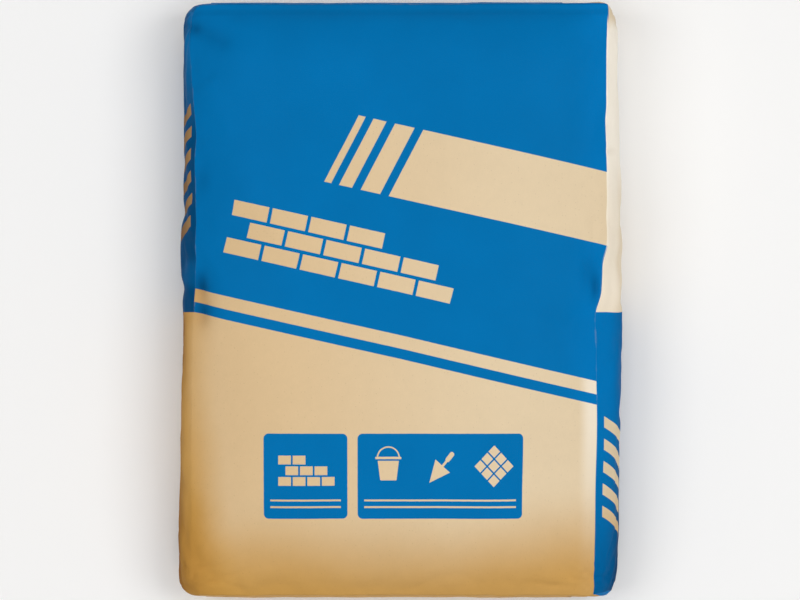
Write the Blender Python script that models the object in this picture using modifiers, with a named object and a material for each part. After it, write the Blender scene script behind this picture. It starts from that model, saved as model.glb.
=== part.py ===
"""A filled 25 kg paper cement sack, lying on its back panel.

The sack is a gusseted kraft paper tube whose two ends are folded square and pasted shut.
+X runs across the front panel, +Y along the sack towards the valve end, +Z up out of the front panel.
The origin is on the floor, at the centre of the sack's outline. Lengths are in metres.
"""

import math

import bmesh
import bpy
from mathutils import Vector

# Front panel: the creases that bound it, measured from the sack's centre line and middle
PANEL_LEFT = 0.188
PANEL_LEFT_CORNER = 0.1915
LEFT_FLARE_FROM = 0.190
LEFT_FLARE_TO = 0.255
PANEL_RIGHT_UPPER = 0.187
PANEL_RIGHT_LOWER = 0.1775
CREASE_SHIFT_FROM = 0.060
CREASE_SHIFT_TO = -0.015
PANEL_TO_PLAIN_END = 0.2668
PANEL_TO_VALVE_END = 0.2648

# Heights above the floor: the front panel's creases, its corners, the back panel's crease, the crown
CREASE_HEIGHT_LEFT = 0.082
CREASE_HEIGHT_RIGHT = 0.090
CREASE_HEIGHT_PLAIN = 0.062
CREASE_HEIGHT_VALVE = 0.086
CORNER_HEIGHTS = {
    "plain left": 0.058,
    "plain right": 0.062,
    "valve left": 0.074,
    "valve right": 0.084,
}
RIM_BLEND_POWER = 8
BOTTOM_CREASE_HEIGHT = 0.009
BOTTOM_CREASE_HEIGHT_CORNER = 0.013
CORNER_DIP_POWER = 6
CROWN_HEIGHT = 0.112

# How far the swollen gussets reach from the centre line, halfway up
LEFT_REACH_LOWER = 0.2035
LEFT_REACH_UPPER = 0.1968
LEFT_REACH_FROM = -0.100
LEFT_REACH_TO = 0.120
RIGHT_REACH_MIDDLE = 0.2035
RIGHT_REACH_ENDS = 0.1970
RIGHT_REACH_POWER = 3.5

# How far the ends swell past their creases; the valve end is drawn in under its sleeve
PLAIN_SWELL = 0.0029
VALVE_SWELL = 0.0051
DRAWN_FROM = 0.020
DRAWN_TO = 0.130
DRAWN_SHARE = 0.75
DRAWN_CREASE = 0.0013
SWELL_POWER = 2.3
SWELL_INWARD_POWER = 7

# Flat middle of the front and back panels, as shares of the half panel
FLAT_ACROSS = 0.42
FLAT_TO_VALVE_END = 0.76
FLAT_TO_PLAIN_END = 0.56
FLAT_BACK = 0.80
DOME_POWER = 2.2

# Rounding of the four corners, across and along: at the front creases, then at the fullest outline
CORNER_RADII = {
    "plain left": ((0.018, 0.028), (0.019, 0.030)),
    "plain right": ((0.002, 0.003), (0.013, 0.072)),
    "valve left": ((0.017, 0.032), (0.020, 0.036)),
    "valve right": ((0.003, 0.004), (0.010, 0.016)),
}

# Cage of the soft form
CUTS_ACROSS = 7
CUTS_ALONG = 9
CUTS_UP = 3
UNCUT_EDGE = 1.0
ON_CREASE = 1e-6
SPREAD_POWER = 1.6
SUBDIVISIONS = 1
CREASE_GUSSET = 0.65
CREASE_END = 0.55
CREASE_BACK = 0.35
CREASE_CORNER = 0.45

# Paper and fits
WALL = 0.0005
GAP = 0.0003
PATCH_THICKNESS = 0.0004
SLEEVE_THICKNESS = 0.0008
PORT_CENTRE_X = 0.110
PORT_WIDTH = 0.030
PORT_HEIGHT = 0.026
PORT_DEPTH = 0.024

# Sheets pasted on the ends, as shares of the half end from its middle to its creases
END_FACING = 0.7
PATCH_EDGE = 0.86
VALVE_PATCH_RIGHT = 0.79
PATCH_HEIGHT = 0.84
SLEEVE_LEFT = 0.36
SLEEVE_RIGHT = 0.95
SLEEVE_HEIGHT = 0.68
SLEEVE_STEP = (0.17, 0.36)

# Colours, linear
KRAFT = (0.62, 0.47, 0.28, 1)
INK_BLUE = (0.0, 0.168, 0.440, 1)
CEMENT_GREY = (0.30, 0.30, 0.29, 1)


def clear_scene():
    for item in list(bpy.data.objects):
        bpy.data.objects.remove(item, do_unlink=True)


def make_collection(name):
    collection = bpy.data.collections.new(name)
    bpy.context.scene.collection.children.link(collection)
    return collection


def make_material(name, colour, roughness):
    material = bpy.data.materials.new(name)
    material.use_nodes = True
    shader = material.node_tree.nodes["Principled BSDF"]
    shader.inputs["Base Color"].default_value = colour
    shader.inputs["Roughness"].default_value = roughness
    shader.inputs["Metallic"].default_value = 0.0
    return material


def smooth_step(low, high, value):
    share = min(1.0, max(0.0, (value - low) / (high - low)))
    return share * share * (3 - 2 * share)


def mix(start, end, share):
    return start + (end - start) * share


def dome(share, flat):
    """1 over the flat middle, falling faster and faster to 0 at the crease."""
    outer = max(0.0, (abs(share) - flat) / (1 - flat))
    return 1 - outer**DOME_POWER


def swell(share, power):
    return 1 - abs(share) ** power


def spread(share):
    """Moves evenly spaced cage lines towards the creases."""
    return math.copysign(1 - (1 - abs(share)) ** SPREAD_POWER, share)


def place_along(along):
    return along * (PANEL_TO_VALVE_END if along > 0 else PANEL_TO_PLAIN_END)


def side_crease(side, along):
    """Distance from the centre line to the crease between the front panel and one gusset."""
    place = place_along(along)
    if side < 0:
        share = smooth_step(LEFT_FLARE_FROM, LEFT_FLARE_TO, abs(place))
        return mix(PANEL_LEFT, PANEL_LEFT_CORNER, share)
    share = smooth_step(CREASE_SHIFT_TO, CREASE_SHIFT_FROM, place)
    return mix(PANEL_RIGHT_LOWER, PANEL_RIGHT_UPPER, share)


def side_reach(side, along):
    """Distance from the centre line to the fullest point of one gusset."""
    if side < 0:
        share = smooth_step(LEFT_REACH_FROM, LEFT_REACH_TO, place_along(along))
        return mix(LEFT_REACH_LOWER, LEFT_REACH_UPPER, share)
    return mix(RIGHT_REACH_MIDDLE, RIGHT_REACH_ENDS, abs(along) ** RIGHT_REACH_POWER)


def end_bulge(across, along, side_edge, fullness):
    """How far one end stands past its crease."""
    if along < 0:
        return PLAIN_SWELL * fullness
    drawn = smooth_step(DRAWN_FROM, DRAWN_TO, across * side_edge)
    return VALVE_SWELL * fullness * (1 - DRAWN_SHARE * drawn) + DRAWN_CREASE * drawn


def corner_name(across, along):
    return ("valve " if along > 0 else "plain ") + ("right" if across > 0 else "left")


def round_corner(x, y, radii, limit_x, limit_y):
    """Squeezes the square corner that ends at the two limits into a quarter of an ellipse."""
    across_radius, along_radius = radii
    past_x = (abs(x) - (limit_x - across_radius)) / across_radius
    past_y = (abs(y) - (limit_y - along_radius)) / along_radius
    if past_x <= 0 or past_y <= 0:
        return x, y
    round_x = past_x * math.sqrt(max(0.0, 1 - past_y**2 / 2))
    round_y = past_y * math.sqrt(max(0.0, 1 - past_x**2 / 2))
    new_x = math.copysign(limit_x - across_radius + across_radius * round_x, x)
    new_y = math.copysign(limit_y - along_radius + along_radius * round_y, y)
    return new_x, new_y


def front_rim(across, along):
    """Height of the front panel's creases, carried inwards over the panel."""
    if abs(across) < 1:
        side = mix(CREASE_HEIGHT_LEFT, CREASE_HEIGHT_RIGHT, (across + 1) / 2)
    else:
        side = CREASE_HEIGHT_RIGHT if across > 0 else CREASE_HEIGHT_LEFT
    end = mix(CREASE_HEIGHT_PLAIN, CREASE_HEIGHT_VALVE, smooth_step(-1, 1, along))
    to_end, to_side = abs(along) ** RIM_BLEND_POWER, abs(across) ** RIM_BLEND_POWER
    end_share = to_end / (to_end + to_side) if to_end + to_side > 0 else 0.5
    corner = CORNER_HEIGHTS[corner_name(across, along)]
    corner_share = abs(across * along) ** CORNER_DIP_POWER
    return mix(side, end, end_share) + (corner - (side + end) / 2) * corner_share


def crease_heights(across, along):
    """Heights of the bottom and top creases, which draw together at the four corners."""
    corner_share = abs(across * along) ** CORNER_DIP_POWER
    bottom = mix(BOTTOM_CREASE_HEIGHT, BOTTOM_CREASE_HEIGHT_CORNER, corner_share)
    return bottom, front_rim(across, along)


def sack_point(across, along, up):
    """A point of the cube from -1 to 1 moved to its place on the filled sack."""
    side = -1 if across < 0 else 1
    side_edge = side_crease(side, along)
    fullness = swell(up, SWELL_POWER)
    bulge_x = (side_reach(side, along) - side_edge) * fullness
    bulge_y = end_bulge(across, along, side_edge, fullness)
    x = across * side_edge + across**SWELL_INWARD_POWER * bulge_x
    y = place_along(along) + along**SWELL_INWARD_POWER * bulge_y
    limit_x = side_edge + bulge_x
    limit_y = abs(place_along(math.copysign(1, along))) + bulge_y
    at_crease, at_outline = CORNER_RADII[corner_name(across, along)]
    outline_share = fullness if up > 0 else 1.0
    radii = [mix(crease, outline, outline_share) for crease, outline in zip(at_crease, at_outline)]
    x, y = round_corner(x, y, radii, limit_x, limit_y)

    bottom_crease, top_crease = crease_heights(across, along)
    flat_along = FLAT_TO_VALVE_END if along > 0 else FLAT_TO_PLAIN_END
    crown = dome(across, FLAT_ACROSS) * dome(along, flat_along)
    top = mix(top_crease, CROWN_HEIGHT, crown)
    bottom = mix(bottom_crease, 0.0, dome(across, FLAT_BACK) * dome(along, FLAT_BACK))
    return Vector((x, y, mix(bottom, top, (up + 1) / 2)))


def subdivide_along(cage, axis, cuts):
    """Cuts every cage edge that runs along one axis."""
    edges = []
    for edge in cage.edges:
        run = edge.verts[0].co - edge.verts[1].co
        if abs(run[axis]) > UNCUT_EDGE:
            edges.append(edge)
    bmesh.ops.subdivide_edges(cage, edges=edges, cuts=cuts, use_grid_fill=True)


def crease_of(edge):
    """How sharply the subdivided form keeps a cube edge, or 0 inside a panel."""
    ends = [vert.co for vert in edge.verts]
    on_side = all(abs(abs(co.x) - 1) < ON_CREASE for co in ends)
    on_end = all(abs(abs(co.y) - 1) < ON_CREASE for co in ends)
    on_front = all(abs(co.z - 1) < ON_CREASE for co in ends)
    on_back = all(abs(co.z + 1) < ON_CREASE for co in ends)
    if on_side and on_end:
        return CREASE_CORNER
    if on_back and (on_side or on_end):
        return CREASE_BACK
    if on_front and on_side:
        return CREASE_GUSSET
    if on_front and on_end:
        return CREASE_END
    return 0.0


def make_sack_cage():
    """Coarse closed cage of the sack: a cube with cage lines, pulled to the filled shape."""
    cage = bmesh.new()
    bmesh.ops.create_cube(cage, size=2)
    for axis, cuts in enumerate((CUTS_ACROSS, CUTS_ALONG, CUTS_UP)):
        subdivide_along(cage, axis, cuts)
    crease_layer = cage.edges.layers.float.new("crease_edge")
    for edge in cage.edges:
        edge[crease_layer] = crease_of(edge)
    for vert in cage.verts:
        vert.co = sack_point(spread(vert.co.x), spread(vert.co.y), spread(vert.co.z))
    bmesh.ops.recalc_face_normals(cage, faces=cage.faces)
    mesh = bpy.data.meshes.new("sack_cage")
    cage.to_mesh(mesh)
    cage.free()
    return mesh


def add_object(name, mesh, collection, material=None):
    item = bpy.data.objects.new(name, mesh)
    collection.objects.link(item)
    if material:
        mesh.materials.clear()
        mesh.materials.append(material)
    mesh.shade_smooth()
    return item


def hide_guide(item):
    item.hide_render = True
    item.display_type = "WIRE"


def subdivide(item):
    modifier = item.modifiers.new("soft form", "SUBSURF")
    modifier.levels = SUBDIVISIONS
    modifier.render_levels = SUBDIVISIONS
    return modifier


def evaluated_mesh(item):
    bpy.context.view_layer.update()
    graph = bpy.context.evaluated_depsgraph_get()
    return bpy.data.meshes.new_from_object(item.evaluated_get(graph))


def sheet_reach(form, end, lift_at):
    """How far the outermost sheet pasted on one end reaches along Y."""
    reach = []
    for vert in form.data.vertices:
        across = vert.co.x / side_crease(vert.co.x, end)
        reach.append(vert.co.y * end + lift_at(across))
    return end * (max(reach) + PATCH_THICKNESS)


def settle_on_origin(form):
    """Moves the form so that the sack with its pasted sheets is centred, and rests on the floor."""
    across = [vert.co.x for vert in form.data.vertices]
    lowest = min(vert.co.z for vert in form.data.vertices)
    middle_y = (sheet_reach(form, 1, over_sleeve) + sheet_reach(form, -1, over_paper)) / 2
    shift = Vector((-(min(across) + max(across)) / 2, -middle_y, -lowest))
    for vert in form.data.vertices:
        vert.co += shift


def make_form(guides):
    """The sack's outer surface, from which every paper piece and the fill are taken."""
    rough = add_object("sack_cage", make_sack_cage(), guides)
    subdivide(rough)
    form = add_object("sack_form", evaluated_mesh(rough), guides)
    bpy.data.objects.remove(rough)
    settle_on_origin(form)
    hide_guide(form)
    return form


def make_port_cutter(guides, form):
    """The opening under the valve sleeve, through which the sack was filled."""
    end_y = max(vert.co.y for vert in form.data.vertices)
    mid_height = sum(crease_heights(PORT_CENTRE_X / PANEL_RIGHT_UPPER, 1)) / 2
    bpy.ops.mesh.primitive_cube_add(size=1, location=(PORT_CENTRE_X, end_y, mid_height))
    cutter = bpy.context.object
    cutter.name = "valve_port_cutter"
    cutter.dimensions = (PORT_WIDTH, PORT_DEPTH, PORT_HEIGHT)
    bpy.ops.object.transform_apply(location=False, rotation=False, scale=True)
    for collection in list(cutter.users_collection):
        collection.objects.unlink(cutter)
    guides.objects.link(cutter)
    hide_guide(cutter)
    return cutter


def make_paper_sack(form, cutter, collection, material):
    """The sack's wall: the form's skin, thickened inwards, with the valve port cut through."""
    sack = add_object("paper_sack", form.data.copy(), collection, material)
    wall = sack.modifiers.new("paper wall", "SOLIDIFY")
    wall.thickness = WALL
    wall.offset = -1
    cut = sack.modifiers.new("valve port", "BOOLEAN")
    cut.operation = "DIFFERENCE"
    cut.solver = "EXACT"
    cut.object = cutter
    return sack


def make_cement_fill(form, collection, material):
    """The packed powder, one gap inside the sack's wall."""
    fill = add_object("cement_fill", form.data.copy(), collection, material)
    shrink = fill.modifiers.new("inside the wall", "DISPLACE")
    shrink.direction = "NORMAL"
    shrink.mid_level = 0
    shrink.strength = -(WALL + GAP)
    return fill


def share_on_end(point, end):
    """Where a point of an end lies, from -1 to 1 across it and from -1 to 1 up it."""
    across = point.x / side_crease(point.x, end)
    bottom, top = crease_heights(min(1.0, abs(across)), end)
    return across, 2 * (point.z - bottom) / (top - bottom) - 1


def make_end_sheet(name, form, end, span, height, lift_at, thickness, collection, material):
    """A paper sheet pasted flat on one end: the form's faces inside a rectangle, lifted and thickened."""
    sheet = bmesh.new()
    sheet.from_mesh(form.data)
    outside = []
    for face in sheet.faces:
        across, up = share_on_end(face.calc_center_median(), end)
        on_end = face.normal.y * end > END_FACING
        if not (on_end and span[0] < across < span[1] and abs(up) < height):
            outside.append(face)
    normals = {vert.index: vert.normal.copy() for vert in sheet.verts}
    for vert in sheet.verts:
        vert.co += normals[vert.index] * lift_at(vert.co.x / side_crease(vert.co.x, end))
    bmesh.ops.delete(sheet, geom=outside, context="FACES")
    mesh = bpy.data.meshes.new(name)
    sheet.to_mesh(mesh)
    sheet.free()
    item = add_object(name, mesh, collection, material)
    wall = item.modifiers.new("paper thickness", "SOLIDIFY")
    wall.thickness = thickness
    wall.offset = 1
    return item


def over_paper(across):
    return GAP


def over_sleeve(across):
    """The valve end's patch steps up where it passes over the sleeve."""
    step = SLEEVE_THICKNESS + GAP
    return GAP + step * smooth_step(*SLEEVE_STEP, across)


def main():
    clear_scene()
    parts = make_collection("cement_sack")
    guides = make_collection("guides")
    kraft = make_material("kraft_paper", KRAFT, 0.72)
    printed = make_material("printed_kraft", INK_BLUE, 0.55)
    powder = make_material("cement_powder", CEMENT_GREY, 0.95)

    form = make_form(guides)
    cutter = make_port_cutter(guides, form)
    make_paper_sack(form, cutter, parts, printed)
    make_cement_fill(form, parts, powder)

    sleeve_span = (SLEEVE_LEFT, SLEEVE_RIGHT)
    valve_span = (-PATCH_EDGE, VALVE_PATCH_RIGHT)
    plain_span = (-PATCH_EDGE, PATCH_EDGE)
    make_end_sheet("valve_sleeve", form, 1, sleeve_span, SLEEVE_HEIGHT, over_paper,
                   SLEEVE_THICKNESS, parts, kraft)
    make_end_sheet("valve_end_patch", form, 1, valve_span, PATCH_HEIGHT, over_sleeve,
                   PATCH_THICKNESS, parts, printed)
    make_end_sheet("plain_end_patch", form, -1, plain_span, PATCH_HEIGHT, over_paper,
                   PATCH_THICKNESS, parts, kraft)


main()
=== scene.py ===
# A filled paper cement sack lying on its back panel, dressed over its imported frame.
# Lengths are in metres: +X across the front panel, +Y along the sack to its valve end, +Z up.
import math
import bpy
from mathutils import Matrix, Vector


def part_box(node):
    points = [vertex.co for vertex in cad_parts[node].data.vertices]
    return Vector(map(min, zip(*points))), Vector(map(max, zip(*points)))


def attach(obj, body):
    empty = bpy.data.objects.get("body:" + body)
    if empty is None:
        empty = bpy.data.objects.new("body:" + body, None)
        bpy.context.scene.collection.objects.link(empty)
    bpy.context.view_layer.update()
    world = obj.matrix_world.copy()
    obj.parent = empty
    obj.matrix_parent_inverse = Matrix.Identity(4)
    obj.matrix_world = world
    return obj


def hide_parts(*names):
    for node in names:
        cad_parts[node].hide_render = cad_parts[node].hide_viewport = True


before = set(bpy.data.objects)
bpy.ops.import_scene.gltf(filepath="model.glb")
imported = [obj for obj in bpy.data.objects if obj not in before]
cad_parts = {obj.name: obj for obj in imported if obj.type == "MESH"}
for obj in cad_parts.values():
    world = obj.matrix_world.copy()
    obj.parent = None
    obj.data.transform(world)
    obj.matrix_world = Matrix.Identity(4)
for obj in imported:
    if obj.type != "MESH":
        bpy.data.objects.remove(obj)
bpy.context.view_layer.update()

from types import SimpleNamespace

import bmesh
import bpy
import numpy as np
from mathutils import Vector, noise


# Small helpers

def smoothStep(low, high, value):
    share = min(1.0, max(0.0, (value - low) / (high - low)))
    return share * share * (3 - 2 * share)


def mixed(start, end, share):
    return start + (end - start) * share


def clipped(values, low, high):
    # smoothStep's share for a whole array, but straight
    return np.clip((values - low) / (high - low), 0, 1)


def throughKnots(knots, value):
    # a smooth curve through pairs of place and height
    if value <= knots[0][0]:
        return knots[0][1]
    for (low, start), (high, end) in zip(knots, knots[1:]):
        if value <= high:
            return mixed(start, end, smoothStep(low, high, value))
    return knots[-1][1]


def fromScreen(red, green, blue):
    # a screen colour, 0 to 255, as the linear colour that shaders take
    linear = []
    for part in (red, green, blue):
        part = part / 255
        linear.append(part / 12.92 if part <= 0.04045 else ((part + 0.055) / 1.055) ** 2.4)
    return (*linear, 1.0)


def addObject(name, mesh, material=None):
    obj = bpy.data.objects.new(name, mesh)
    bpy.context.scene.collection.objects.link(obj)
    if material:
        mesh.materials.clear()
        mesh.materials.append(material)
    return obj


def plainMesh(obj, name):
    # the evaluated object as a mesh of its own, with nothing live left on it
    bpy.context.view_layer.update()
    graph = bpy.context.evaluated_depsgraph_get()
    mesh = bpy.data.meshes.new_from_object(obj.evaluated_get(graph))
    mesh.name = name
    return mesh


def vertexPlaces(mesh):
    places = np.empty(len(mesh.vertices) * 3)
    mesh.vertices.foreach_get("co", places)
    return places.reshape(-1, 3)


def setVertexPlaces(mesh, places):
    mesh.vertices.foreach_set("co", np.ascontiguousarray(places, dtype=np.float32).ravel())
    mesh.update()


def vertexNormals(mesh):
    normals = np.empty(len(mesh.vertices) * 3)
    mesh.vertices.foreach_get("normal", normals)
    return normals.reshape(-1, 3)


# Node helpers, for shader trees and geometry trees alike

def plug(socket, value):
    if isinstance(value, Field):
        value = value.socket
    if isinstance(value, bpy.types.NodeSocket):
        socket.id_data.links.new(value, socket)
    else:
        socket.default_value = value


class Field:
    # a number that changes over a surface; sums with it add Math nodes to its tree

    def __init__(self, socket):
        self.socket = socket

    def maths(self, operation, *others):
        return maths(self.socket.id_data, operation, self, *others)

    def __add__(self, other):
        return self.maths("ADD", other)

    def __sub__(self, other):
        return self.maths("SUBTRACT", other)

    def __rsub__(self, other):
        return maths(self.socket.id_data, "SUBTRACT", other, self)

    def __mul__(self, other):
        return self.maths("MULTIPLY", other)

    def __truediv__(self, other):
        return self.maths("DIVIDE", other)

    def __mod__(self, other):
        return self.maths("FLOORED_MODULO", other)

    def __abs__(self):
        return self.maths("ABSOLUTE")

    __rmul__ = __mul__


def maths(tree, operation, *values):
    node = tree.nodes.new("ShaderNodeMath")
    node.operation = operation
    for socket, value in zip(node.inputs, values):
        plug(socket, value)
    return Field(node.outputs[0])


def addNode(tree, kind, inputs=None, **settings):
    node = tree.nodes.new(kind)
    for name, value in settings.items():
        setattr(node, name, value)
    for name, value in (inputs or {}).items():
        plug(node.inputs[name], value)
    return node


def rising(value, low, high):
    # 0 below low, 1 above high, smooth between
    tree = value.socket.id_data
    node = addNode(tree, "ShaderNodeMapRange", {"Value": value, "From Min": low, "From Max": high},
                   interpolation_type="SMOOTHSTEP")
    return Field(node.outputs["Result"])


def falling(value, low, high):
    return 1 - rising(value, low, high)


def biggest(first, *others):
    for other in others:
        first = first.maths("MAXIMUM", other)
    return first


def newGroup(name, kind, inputs, outputs):
    tree = bpy.data.node_groups.new(name, kind)
    for socketName, (socketKind, value) in inputs.items():
        socket = tree.interface.new_socket(socketName, in_out="INPUT", socket_type="NodeSocket" + socketKind)
        if value is not None:
            socket.default_value = value
    for socketName, socketKind in outputs.items():
        tree.interface.new_socket(socketName, in_out="OUTPUT", socket_type="NodeSocket" + socketKind)
    given = tree.nodes.new("NodeGroupInput").outputs
    result = tree.nodes.new("NodeGroupOutput").inputs
    return tree, given, result


def useGroup(tree, group, inputs):
    return addNode(tree, "ShaderNodeGroup", inputs, node_tree=group).outputs


def mixColours(tree, share, first, second, blend="MIX"):
    node = addNode(tree, "ShaderNodeMix", {0: share, 6: first, 7: second}, data_type="RGBA", blend_type=blend)
    return node.outputs[2]


def toned(tree, colour, tone):
    return mixColours(tree, 1.0, colour, tone, "MULTIPLY")


def noiseField(tree, place, scale, detail=2.0, roughness=0.5, dimensions="2D"):
    # from about -0.5 to 0.5; flat noise is enough on the paper map
    node = addNode(tree, "ShaderNodeTexNoise",
                   {"Vector": place, "Scale": scale, "Detail": detail, "Roughness": roughness},
                   noise_dimensions=dimensions)
    return Field(node.outputs["Fac"]) - 0.5


def vectorMaths(tree, operation, *values):
    return addNode(tree, "ShaderNodeVectorMath", dict(enumerate(values)), operation=operation).outputs[0]


def scaledBy(tree, vector, scale):
    return addNode(tree, "ShaderNodeVectorMath", {0: vector, "Scale": scale}, operation="SCALE").outputs[0]


def stretched(tree, place, scale):
    return vectorMaths(tree, "MULTIPLY", place, scale)


def vectorParts(tree, vector):
    return [Field(part) for part in addNode(tree, "ShaderNodeSeparateXYZ", {"Vector": vector}).outputs]


# Shader groups that several finishes share

fibreGrain = {
    "clouds": 11.0,                # noise scales on the paper map
    "pulp": 95.0,
    "lengthwise": (1500, 190, 1500),
    "crossing": (330, 1100, 330),
    "lengthwiseShare": 0.65,       # of the fibres, the rest cross them
    "pulpTone": 0.8,               # against the clouds
    "pulpHeight": 0.9,             # against the fibres
    "flecks": 330.0,
    "fleckSize": (0.04, 0.18),
    "fleckPick": (0.90, 0.94),     # only cells past this hold a fleck
    "fleckStrength": 0.22,
    "fleckColour": (0.20, 0.11, 0.045, 1),
}


def makeKraftFibre():
    # bare sack kraft: cloudy pulp, long fibres down the machine and a few dark flecks
    tree, given, result = newGroup("kraftFibre", "ShaderNodeTree", {
        "Place": ("Vector", None),
        "Pale": ("Color", (0.7, 0.6, 0.4, 1)),
        "Golden": ("Color", (0.45, 0.25, 0.08, 1)),
        "Golden Share": ("Float", 0.0),
        "Clouds": ("Float", 0.07),
        "Fibres": ("Float", 0.08),
    }, {"Color": "Color", "Height": "Float"})
    grain, place = fibreGrain, given["Place"]
    clouds = noiseField(tree, place, grain["clouds"], 3.0)
    pulp = noiseField(tree, place, grain["pulp"], 3.0, 0.6)
    lengthwise, crossing = (noiseField(tree, stretched(tree, place, grain[way]), 1.0, roughness=0.6)
                            for way in ("lengthwise", "crossing"))
    fibres = lengthwise * grain["lengthwiseShare"] + crossing * (1 - grain["lengthwiseShare"])
    fleck = addNode(tree, "ShaderNodeTexVoronoi", {"Vector": place, "Scale": grain["flecks"]},
                    voronoi_dimensions="2D")
    pick = addNode(tree, "ShaderNodeSeparateColor", {"Color": fleck.outputs["Color"]})
    flecks = falling(Field(fleck.outputs["Distance"]), *grain["fleckSize"])
    flecks = flecks * rising(Field(pick.outputs[0]), *grain["fleckPick"]) * grain["fleckStrength"]
    cloudy = clouds * given["Clouds"] + pulp * given["Clouds"] * grain["pulpTone"]
    tone = cloudy + fibres * given["Fibres"] + 1
    paperTone = mixColours(tree, given["Golden Share"], given["Pale"], given["Golden"])
    plug(result["Color"], mixColours(tree, flecks, toned(tree, paperTone, tone), grain["fleckColour"]))
    plug(result["Height"], fibres + pulp * grain["pulpHeight"] + 0.5)
    return tree


inkLayer = {
    "mottle": (420.0, 0.06, 0.14),     # noise scale, and how far it changes the tone and the roughness
    "laydown": (17.0, 0.13, 0.06),     # the same, slow over the sheet
    "pinholes": 700.0,
    "pinholeSize": (0.02, 0.14),
    "pinholeDepth": 0.05,
    "rubDepth": 0.9,
}


def makeInkOnPaper():
    # one flat printed colour: slightly mottled, with pinholes, thinner where the paper is rubbed
    tree, given, result = newGroup("inkOnPaper", "ShaderNodeTree", {
        "Place": ("Vector", None),
        "Paper": ("Color", (0.7, 0.6, 0.4, 1)),
        "Ink": ("Color", (0.0, 0.17, 0.44, 1)),
        "Mask": ("Float", 1.0),
        "Rubbed": ("Float", 0.0),
        "Bare Roughness": ("Float", 0.62),
        "Ink Roughness": ("Float", 0.46),
    }, {"Color": "Color", "Roughness": "Float"})
    layer, place = inkLayer, given["Place"]
    mottleScale, mottleTone, mottleRough = layer["mottle"]
    laydownScale, laydownTone, laydownRough = layer["laydown"]
    mottle = noiseField(tree, place, mottleScale, 3.0, 0.65)
    laydown = noiseField(tree, place, laydownScale, 3.0)
    hole = addNode(tree, "ShaderNodeTexVoronoi", {"Vector": place, "Scale": layer["pinholes"]},
                   voronoi_dimensions="2D")
    holes = falling(Field(hole.outputs["Distance"]), *layer["pinholeSize"])
    tone = mottle * mottleTone + laydown * laydownTone + 1
    thinned = 1.0 - holes * layer["pinholeDepth"] - Field(given["Rubbed"]) * layer["rubDepth"]
    inked = toned(tree, given["Ink"], tone)
    plug(result["Color"], mixColours(tree, given["Mask"] * thinned, given["Paper"], inked))
    bare, ink = Field(given["Bare Roughness"]), Field(given["Ink Roughness"])
    uneven = mottle * mottleRough + laydown * laydownRough
    plug(result["Roughness"], bare + (ink - bare) * given["Mask"] + uneven)
    return tree


foldWear = {
    "patches": 55.0,               # noise scales: where a fold is rubbed at all, and the grain of it
    "patchEdge": (-0.02, 0.16),
    "speckle": 900.0,
    "speckleEdge": (-0.1, 0.2),
    "speckleShare": 0.6,
}


def makeFoldRub():
    # broken rubbing along a fold, from the distance to it
    tree, given, result = newGroup("foldRub", "ShaderNodeTree", {
        "Place": ("Vector", None),
        "Distance": ("Float", 1.0),
        "Width": ("Float", 0.0015),
        "Amount": ("Float", 0.5),
    }, {"Mask": "Float"})
    marks, place = foldWear, given["Place"]
    patchy = rising(noiseField(tree, place, marks["patches"], 4.0, 0.7), *marks["patchEdge"])
    speckle = rising(noiseField(tree, place, marks["speckle"]), *marks["speckleEdge"])
    near = 1 - Field(given["Distance"]) / given["Width"]
    broken = patchy * (speckle * marks["speckleShare"] + (1 - marks["speckleShare"]))
    plug(result["Mask"], rising(near, 0.0, 1.0) * broken * given["Amount"])
    return tree


handling = {"finer": 2.3, "finerShare": 0.45}    # the small creases, against the broad facets


def makePressedCreases():
    # faint facets and hard little creases, as in paper that has been handled
    tree, given, result = newGroup("pressedCreases", "ShaderNodeTree", {
        "Place": ("Vector", None),
        "Scale": ("Float", 30.0),
        "Amount": ("Float", 1.0),
    }, {"Height": "Float"})
    broad = abs(noiseField(tree, given["Place"], given["Scale"], 1.0))
    fine = abs(noiseField(tree, given["Place"], Field(given["Scale"]) * handling["finer"], 1.0))
    plug(result["Height"], (broad + fine * handling["finerShare"]) * given["Amount"])
    return tree


printEdge = 0.00022    # softness of a printed edge


def makeInkBox():
    # 1 inside a box with round corners, on the paper map
    tree, given, result = newGroup("inkBox", "ShaderNodeTree", {
        "U": ("Float", 0.0), "V": ("Float", 0.0),
        "Centre U": ("Float", 0.0), "Centre V": ("Float", 0.0),
        "Half Width": ("Float", 0.01), "Half Height": ("Float", 0.01),
        "Corner": ("Float", 0.0),
    }, {"Mask": "Float"})
    pastU = abs(Field(given["U"]) - given["Centre U"]) - given["Half Width"] + given["Corner"]
    pastV = abs(Field(given["V"]) - given["Centre V"]) - given["Half Height"] + given["Corner"]
    outsideU, outsideV = pastU.maths("MAXIMUM", 0.0), pastV.maths("MAXIMUM", 0.0)
    inside = pastU.maths("MAXIMUM", pastV).maths("MINIMUM", 0.0)
    distance = (outsideU * outsideU + outsideV * outsideV).maths("SQRT") + inside - given["Corner"]
    plug(result["Mask"], falling(distance, -printEdge, printEdge))
    return tree


print("shader groups")
kraftFibre = makeKraftFibre()
inkOnPaper = makeInkOnPaper()
foldRub = makeFoldRub()
pressedCreases = makePressedCreases()
inkBox = makeInkBox()


# The filled shape of the sack

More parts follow.
